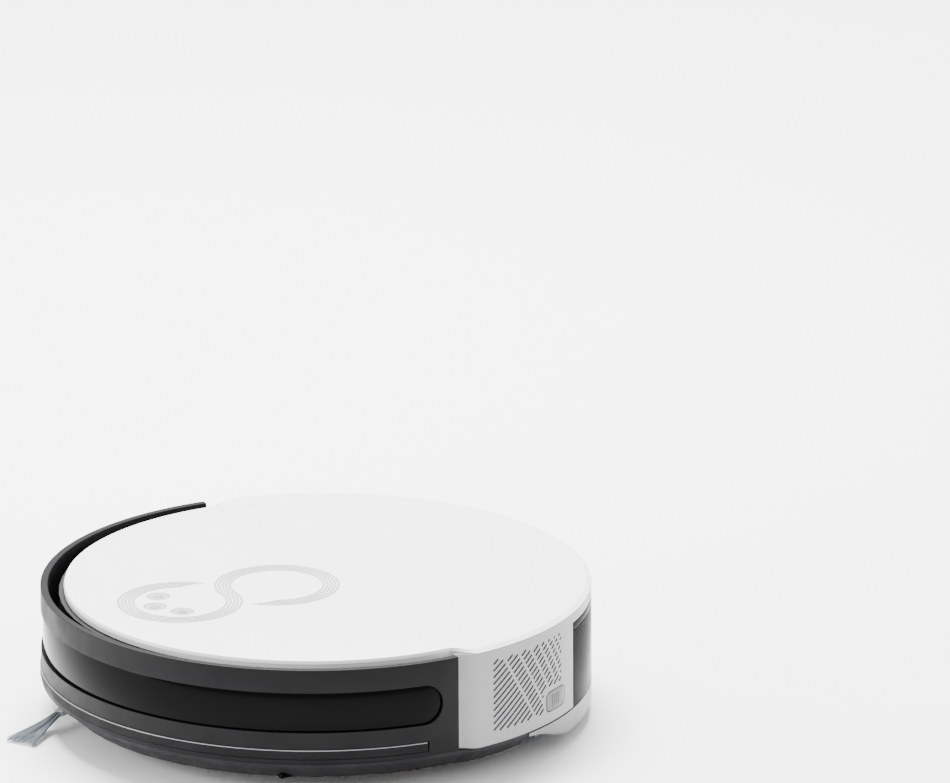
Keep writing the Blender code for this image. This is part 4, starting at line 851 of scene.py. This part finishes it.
def tyre(word, side):
    """A tyre built standing on its side, then turned and moved to its wheel."""
    rings = [(radius, -height) for radius, height in HALF_PROFILE] + HALF_PROFILE[::-1]
    drum = lathe("tyre_%s_tread" % word, rings, sides=144)
    cut(drum, lathe("bore", [(BORE_R, -20.0), (BORE_R, 20.0)], sides=72))
    for row in (-1, 1):
        edit(drum)
        pick_faces(drum, lambda centre, normal: centre.xy.length > (TYRE_R - 0.2) * MM
                   and 2 * MM < row * centre.z < 7 * MM
                   and (math.atan2(centre.y, centre.x) / BLOCK_TURN + row / 4) % 1 < BLOCK_SHARE)
        bpy.ops.mesh.extrude_region_shrink_fatten(
            TRANSFORM_OT_shrink_fatten={"value": TREAD * MM})
        done()
    outward(drum)
    rounded(drum, 0.25, 1, 50)
    drum.rotation_euler.y = math.pi / 2
    drum.location = (side * WHEEL_AT[0] * MM, WHEEL_AT[1] * MM, WHEEL_AT[2] * MM)
    settle(drum)
    smooth(drum, 30)
    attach(drum, "wheel_" + word)
    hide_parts("tyre_" + word)
    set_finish(drum, "tyre_rubber")
    print(drum.name, len(drum.data.polygons), "faces")


tyre("left", 1)
tyre("right", -1)

# %% [markdown]
# ## Side brush bristles
#
# Two tufts sweep dust from the corner into the path of the main brush. A tuft is a bundle of
# long nylon bristles that fans out and droops to the floor. One bristle is a small circle
# extruded and thinned in steps, and each copy is turned and drooped a little differently.

# %% Tufts
BRUSH_AXIS = (-61.2, -126.1)
TUFT_TURNS = {"side_brush_tuft_1": -61.0, "side_brush_tuft_2": 119.0}
TUFT_BRISTLES = 120
ROOT = 26.0
REACH = 40.5
LENGTHS = 6
ROOT_SPREAD = 1.8
FAN_SPREAD = 8.5
chance = random.Random(7)


def bristle(turn):
    """One bristle from the arm's socket out to the floor."""
    thick = chance.uniform(0.26, 0.34)
    rings = [(thick * (1 - 0.55 * n / LENGTHS),
              ROOT + REACH * n / LENGTHS * chance.uniform(0.985, 1.0))
             for n in range(LENGTHS + 1)]
    hair = lathe("bristle", rings, sides=5)
    fan = chance.uniform(-1.0, 1.0)
    low = chance.uniform(0.7, 3.4)
    high = chance.uniform(6.6, 9.4)
    for vertex in hair.data.vertices:
        share = (vertex.co.z / MM - ROOT) / REACH
        thin = vertex.co.copy()
        vertex.co.x = thin.z
        vertex.co.y = thin.x + (fan * ROOT_SPREAD + fan * FAN_SPREAD * share ** 1.25) * MM
        vertex.co.z = thin.y + (high + (low - high) * share ** 0.8) * MM
    hair.rotation_euler.z = math.radians(turn)
    hair.location = (BRUSH_AXIS[0] * MM, BRUSH_AXIS[1] * MM, 0)
    return settle(hair)


for node, turn in TUFT_TURNS.items():
    tuft = joined([bristle(turn) for number in range(TUFT_BRISTLES)], node + "_bristles")
    outward(tuft)
    smooth(tuft, 60)
    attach(tuft, "side_brush")
    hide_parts(node)
    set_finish(tuft, "bristle")
    print(tuft.name, len(tuft.data.polygons), "faces")

# %% [markdown]
# ## Finishes
#
# Nearly every surface is moulded plastic, which is never one flat colour: the colour drifts a
# little, the gloss varies where hands touch it, and a fine spark-eroded grain breaks up the
# reflections. One helper builds that from noise on Object coordinates. Its colour, gloss, grain
# size and grain depth are set for each finish.

# %% Moulded finish
def finish(name, colour, rough, grain=0.5, depth=0.02, drift=0.05, metal=0.0, coat=0.0,
           specular=0.5, stretch=(1, 1, 1)):
    """A moulded, rolled or turned surface with drifting colour, gloss and grain."""
    material = bpy.data.materials.new(name)
    material.use_nodes = True
    nodes = material.node_tree.nodes
    links = material.node_tree.links
    shader = nodes["Principled BSDF"]
    shader.inputs["Metallic"].default_value = metal
    shader.inputs["Coat Weight"].default_value = coat
    shader.inputs["Coat Roughness"].default_value = 0.12
    shader.inputs["Specular IOR Level"].default_value = specular
    place = nodes.new("ShaderNodeTexCoord")
    spread = nodes.new("ShaderNodeMapping")
    spread.inputs["Scale"].default_value = stretch
    links.new(place.outputs["Object"], spread.inputs["Vector"])
    broad = nodes.new("ShaderNodeTexNoise")
    broad.inputs["Scale"].default_value = 22
    broad.inputs["Detail"].default_value = 6
    links.new(spread.outputs["Vector"], broad.inputs["Vector"])
    tint = nodes.new("ShaderNodeMix")
    tint.data_type = "RGBA"
    tint.inputs[6].default_value = [c * (1 - drift) for c in colour] + [1]
    tint.inputs[7].default_value = [min(1.0, c * (1 + drift)) for c in colour] + [1]
    links.new(broad.outputs["Fac"], tint.inputs[0])
    links.new(tint.outputs[2], shader.inputs["Base Color"])
    touch = nodes.new("ShaderNodeTexNoise")
    touch.inputs["Scale"].default_value = 60
    touch.inputs["Detail"].default_value = 8
    links.new(spread.outputs["Vector"], touch.inputs["Vector"])
    gloss = nodes.new("ShaderNodeMapRange")
    gloss.inputs["From Min"].default_value = 0.3
    gloss.inputs["From Max"].default_value = 0.7
    gloss.inputs["To Min"].default_value = rough * 0.88
    gloss.inputs["To Max"].default_value = min(1.0, rough * 1.15 + 0.01)
    links.new(touch.outputs["Fac"], gloss.inputs["Value"])
    links.new(gloss.outputs["Result"], shader.inputs["Roughness"])
    fine = nodes.new("ShaderNodeTexNoise")
    fine.inputs["Scale"].default_value = 1000 / grain
    fine.inputs["Detail"].default_value = 3
    links.new(spread.outputs["Vector"], fine.inputs["Vector"])
    bump = nodes.new("ShaderNodeBump")
    bump.inputs["Strength"].default_value = 0.7
    bump.inputs["Distance"].default_value = depth * MM
    links.new(fine.outputs["Fac"], bump.inputs["Height"])
    links.new(bump.outputs["Normal"], shader.inputs["Normal"])
    return material


FINISHES = {
    "white_cover": finish("white_cover", (0.84, 0.84, 0.84), 0.34, 0.9, 0.004, 0.012),
    "white_button": finish("white_button", (0.42, 0.42, 0.42), 0.30, 0.9, 0.004, 0.02),
    "black_bumper": finish("black_bumper", (0.0045, 0.0045, 0.005), 0.46, 0.45, 0.03, 0.14,
                           specular=0.10),
    "window_black": finish("window_black", (0.0006, 0.0006, 0.0007), 0.08, 2.0, 0.002, 0.2,
                           specular=0.04),
    "soft_black": finish("soft_black", (0.005, 0.005, 0.0055), 0.58, 0.6, 0.03, 0.12,
                         specular=0.10),
    "spring_steel": finish("spring_steel", (0.60, 0.60, 0.61), 0.25, 0.3, 0.01, 0.08, 1.0),
    "silver_shell": finish("silver_shell", (0.20, 0.20, 0.203), 0.33, 0.5, 0.012, 0.03, 0.45),
    # A lighter grey put on thin bevel faces as painted highlight along the bumper's and the rubber
    # strip's edges.
    "painted_edge_highlight": finish("painted_edge_highlight", (0.22, 0.22, 0.223), 0.24, 0.6, 0.004, 0.10),
    # The latch buttons' own dark grey, also used as painted shade on the floors of the grille
    # slots.
    "latch_grey_and_slot_shade": finish("latch_grey_and_slot_shade", (0.07, 0.07, 0.072), 0.36, 0.6, 0.01, 0.05),
    # A mid grey used as painted shade inside the cover's grooves.
    "groove_painted_shade": finish("groove_painted_shade", (0.40, 0.40, 0.41), 0.5, 0.6, 0.004, 0.03),
    "light_grey": finish("light_grey", (0.15, 0.15, 0.153), 0.32, 0.6, 0.01, 0.04, 0.3),
    "contact_metal": finish("contact_metal", (0.80, 0.62, 0.36), 0.22, 0.3, 0.01, 0.08, 1.0,
                            stretch=(1, 12, 12)),
    "black_frame": finish("black_frame", (0.008, 0.008, 0.009), 0.55, 0.7, 0.03, 0.15,
                          specular=0.2),
    "dark_grey": finish("dark_grey", (0.026, 0.026, 0.028), 0.50, 0.6, 0.03, 0.10, specular=0.3),
    "motor_steel": finish("motor_steel", (0.52, 0.52, 0.53), 0.33, 0.3, 0.02, 0.08, 1.0),
    "tyre_rubber": finish("tyre_rubber", (0.012, 0.012, 0.012), 0.72, 0.5, 0.06, 0.2,
                          specular=0.3),
    "caster_black": finish("caster_black", (0.012, 0.012, 0.013), 0.42, 0.6, 0.02, 0.12,
                           specular=0.25),
    "brush_arm_grey": finish("brush_arm_grey", (0.40, 0.42, 0.44), 0.32, 0.7, 0.01, 0.05),
    "bristle": finish("bristle", (0.19, 0.215, 0.24), 0.42, 0.2, 0.01, 0.25),
    "battery_wrap": finish("battery_wrap", (0.06, 0.12, 0.28), 0.24, 3.0, 0.05, 0.12, coat=0.4),
    "board_green": finish("board_green", (0.02, 0.14, 0.07), 0.30, 1.2, 0.03, 0.20, coat=0.5),
    "screw_steel": finish("screw_steel", (0.44, 0.44, 0.45), 0.28, 0.25, 0.02, 0.10, 1.0),
}
print(len(FINISHES), "moulded, metal and rubber finishes")

# %% [markdown]
# ## Smoke, cloth and paper
#
# Three finishes need more. The bin is tinted plastic that lets light through. The pad is cloth
# with small loops in rows, so two crossed waves lift it and its sheen is high. The filter is
# folded paper, so one wave across it makes the pleats.

# %% Smoke-tinted plastic
smoke = finish("smoke_clear", (0.030, 0.030, 0.033), 0.12, 3.0, 0.01, 0.06, specular=0.02)
smoke.node_tree.nodes["Principled BSDF"].inputs["Transmission Weight"].default_value = 0.60
smoke.node_tree.nodes["Principled BSDF"].inputs["IOR"].default_value = 1.05
FINISHES["smoke_clear"] = smoke


# %% Cloth and pleated paper
WAVE_REPEAT = 314  # a wave texture of scale 1 repeats every 314 mm


def ribbed(name, colour, rough, pitches, depth, sheen):
    """A matte finish lifted by waves at the given pitches (millimetres) along x and y."""
    material = finish(name, colour, rough, 0.8, 0.05, 0.10)
    nodes = material.node_tree.nodes
    links = material.node_tree.links
    shader = nodes["Principled BSDF"]
    shader.inputs["Sheen Weight"].default_value = sheen
    place = nodes["Texture Coordinate"]
    last = nodes["Bump"]
    for axis, pitch in zip("XY", pitches):
        wave = nodes.new("ShaderNodeTexWave")
        wave.bands_direction = axis
        wave.inputs["Scale"].default_value = WAVE_REPEAT / pitch
        wave.inputs["Distortion"].default_value = 0.6
        links.new(place.outputs["Object"], wave.inputs["Vector"])
        lift = nodes.new("ShaderNodeBump")
        lift.inputs["Distance"].default_value = depth * MM
        links.new(wave.outputs["Fac"], lift.inputs["Height"])
        links.new(last.outputs["Normal"], lift.inputs["Normal"])
        last = lift
    links.new(last.outputs["Normal"], shader.inputs["Normal"])
    return material


FINISHES["pad_cloth"] = ribbed("pad_cloth", (0.30, 0.37, 0.43), 0.95, (1.6, 2.2), 0.5, 0.6)
FINISHES["filter_paper"] = ribbed("filter_paper", (0.82, 0.82, 0.79), 0.9, (3.0,), 0.8, 0.2)
print("finishes", sorted(FINISHES))

# %% [markdown]
# ## Dressing every piece
#
# New pieces take the finish that their slot names. The frame's own nodes that stay in view take
# theirs from the list below. A second finish then goes on some faces: painted shade, a grey tint
# in the cover's grooves and on the floors of the grille slots; painted highlights, a lighter grey
# on the bumper's fine edges round the window and on the rubber strip's upper bevel; and the dark
# print of the key symbols.

# %% Assign the finishes
NODES_OF = {
    "spring_steel": ["suspension_spring_left", "suspension_spring_right"],
    "contact_metal": ["charge_contact_left", "charge_contact_right"],
    "black_frame": ["base_pan", "inner_frame", "wheel_arm_left", "wheel_arm_right",
                    "fan_housing"],
    "dark_grey": ["battery_door", "brush_guard", "wheel_hub_left", "wheel_hub_right",
                  "brush_bearing", "fan_impeller", "main_brush"],
    "window_black": ["cliff_window_left", "cliff_window_right", "cliff_window_front"],
    "soft_black": ["evac_flap"],
    "motor_steel": ["drive_motor_left", "drive_motor_right", "brush_motor",
                    "side_brush_motor", "fan_motor"],
    "caster_black": ["caster_fork", "caster_wheel"],
    "brush_arm_grey": ["side_brush_hub"],
    "battery_wrap": ["battery_pack"],
    "board_green": ["main_board", "button_board"],
    "screw_steel": ["pan_screw_%d" % n for n in range(1, 6)] + ["caster_axle"],
    "filter_paper": ["bin_filter"],
}
dressed = 0
for finish_name, names in NODES_OF.items():
    for name in names:
        for holder in frame["nodes"][name].material_slots:
            holder.material = FINISHES[finish_name]
        dressed += 1
for piece in bpy.data.objects:
    if piece.type == "MESH" and "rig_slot" in piece:
        piece.data.materials.clear()
        piece.data.materials.append(FINISHES[piece["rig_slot"]])
        dressed += 1
print(dressed, "pieces dressed")

# %% Second finishes: painted shade, painted highlights and key print
WINDOW_MIDDLE = (WINDOW_LOW + WINDOW_HIGH) / 2
for word in ("left", "right"):
    bpy.data.objects["latch_%s_button" % word].data.materials[0] = FINISHES["latch_grey_and_slot_shade"]
# Painted highlight: the bevel faces just above and below the window recess take the lighter grey.
bumper.data.materials.append(FINISHES["painted_edge_highlight"])
for polygon in bumper.data.polygons:
    centre = polygon.center / MM
    from_middle = abs(centre.z - WINDOW_MIDDLE)
    on_face = centre.xy.length > FACE - 0.4 and 11 < from_middle < 13.5
    if on_face and abs(polygon.normal.z) > 0.2:
        polygon.material_index = 1
# Painted highlight: the upward-sloping bevel faces of the rubber strip take the lighter grey.
rubber.data.materials.append(FINISHES["painted_edge_highlight"])
for polygon in rubber.data.polygons:
    if 0.25 < polygon.normal.z < 0.85 and polygon.center.xy.length > FACE * MM:
        polygon.material_index = 1
# Painted shade: the floors of the shallow grille slots take the dark grey, standing in for the
# hollow behind them.
shell.data.materials.append(FINISHES["latch_grey_and_slot_shade"])
for polygon in shell.data.polygons:
    centre = polygon.center / MM
    angle = abs(math.degrees(math.atan2(centre.x, -centre.y)))
    if 162.5 < centre.xy.length < 162.9 and centre.z < 75 and angle > STEP_END + 2:
        polygon.material_index = 1
# Painted shade: the faces inside the cover's grooves take the mid grey.
cover.data.materials.append(FINISHES["groove_painted_shade"])
grooved = 0
for polygon in cover.data.polygons:
    centre = polygon.center / MM
    if 82.2 < centre.z < 82.97 and abs(centre.x) < 45 and -140 < centre.y < 20:
        polygon.material_index = 1
        grooved += 1
for name, place in BUTTONS.items():
    key = bpy.data.objects[name.replace("_key", "_button_cap")]
    key.data.materials.append(FINISHES["window_black"])
    for polygon in key.data.polygons:
        centre = polygon.center / MM
        if 82.25 < centre.z < 82.5 and (centre.xy - Vector(place)).length < 3.4:
            polygon.material_index = 1
            grooved += 1
print(grooved, "groove and symbol faces tinted")

# %% [markdown]
# ## Floor, light and camera
#
# The robot stands on a plain pale floor in a soft studio light: a pale world, a wide softbox
# above and a tall panel on one side that lights the bumper's edges. The camera uses a long
# lens from far off, which keeps the circle of the cover an even ellipse.

# %% Floor
bpy.ops.object.select_all(action="DESELECT")
bpy.ops.mesh.primitive_plane_add(size=30, location=(0, 0, 0))
floor = bpy.context.object
floor.name = "floor"
floor_finish = finish("floor_pale", (0.92, 0.92, 0.92), 0.8, 2.0, 0.01, 0.005)
floor.data.materials.append(floor_finish)

# %% Light
world = bpy.data.worlds.new("studio")
world.use_nodes = True
world.node_tree.nodes["Background"].inputs["Color"].default_value = (1, 1, 1, 1)
world.node_tree.nodes["Background"].inputs["Strength"].default_value = 1.5
bpy.context.scene.world = world


def softbox(name, place, target, width, height, power):
    """A rectangular area light that faces a point."""
    lamp = bpy.data.lights.new(name, "AREA")
    lamp.shape = "RECTANGLE"
    lamp.size = width
    lamp.size_y = height
    lamp.energy = power
    holder = bpy.data.objects.new(name, lamp)
    holder.location = place
    holder.rotation_euler = (Vector(target) - Vector(place)).to_track_quat("-Z", "Y").to_euler()
    bpy.context.collection.objects.link(holder)


softbox("overhead", (-0.9, 0.3, 2.2), (0, 0, 0), 1.4, 1.4, 330)
softbox("side_panel", (-0.5, -2.0, 0.7), (0, 0, 0.05), 0.5, 1.2, 40)

# %% Camera
AZIMUTH = math.radians(62)
ELEVATION = math.radians(18)
ROLL = 0.00506
DISTANCE = 7.877
AIM_HEIGHT = 0.0395
AIM_RIGHT = 0.0947
AIM_UP = 0.1521
right = Vector((math.cos(AZIMUTH), math.sin(AZIMUTH), 0))
forward = Vector((-math.sin(AZIMUTH) * math.cos(ELEVATION),
                  math.cos(AZIMUTH) * math.cos(ELEVATION), -math.sin(ELEVATION)))
up = right.cross(forward)
aim = Vector((0, 0, AIM_HEIGHT)) + right * AIM_RIGHT + up * AIM_UP
side_way = (right - up * ROLL).normalized()
up_way = side_way.cross(forward)
lens = bpy.data.cameras.new("camera")
lens.lens = 500
lens.sensor_width = 36
lens.clip_end = 60
camera = bpy.data.objects.new("camera", lens)
bpy.context.collection.objects.link(camera)
turn = bpy.data.objects["camera"].matrix_world.to_3x3()
turn.col[0] = side_way
turn.col[1] = up_way
turn.col[2] = -forward
camera.matrix_world = turn.to_4x4()
camera.location = aim - forward * DISTANCE
bpy.context.scene.camera = camera
print("camera at", [round(c, 3) for c in camera.location])
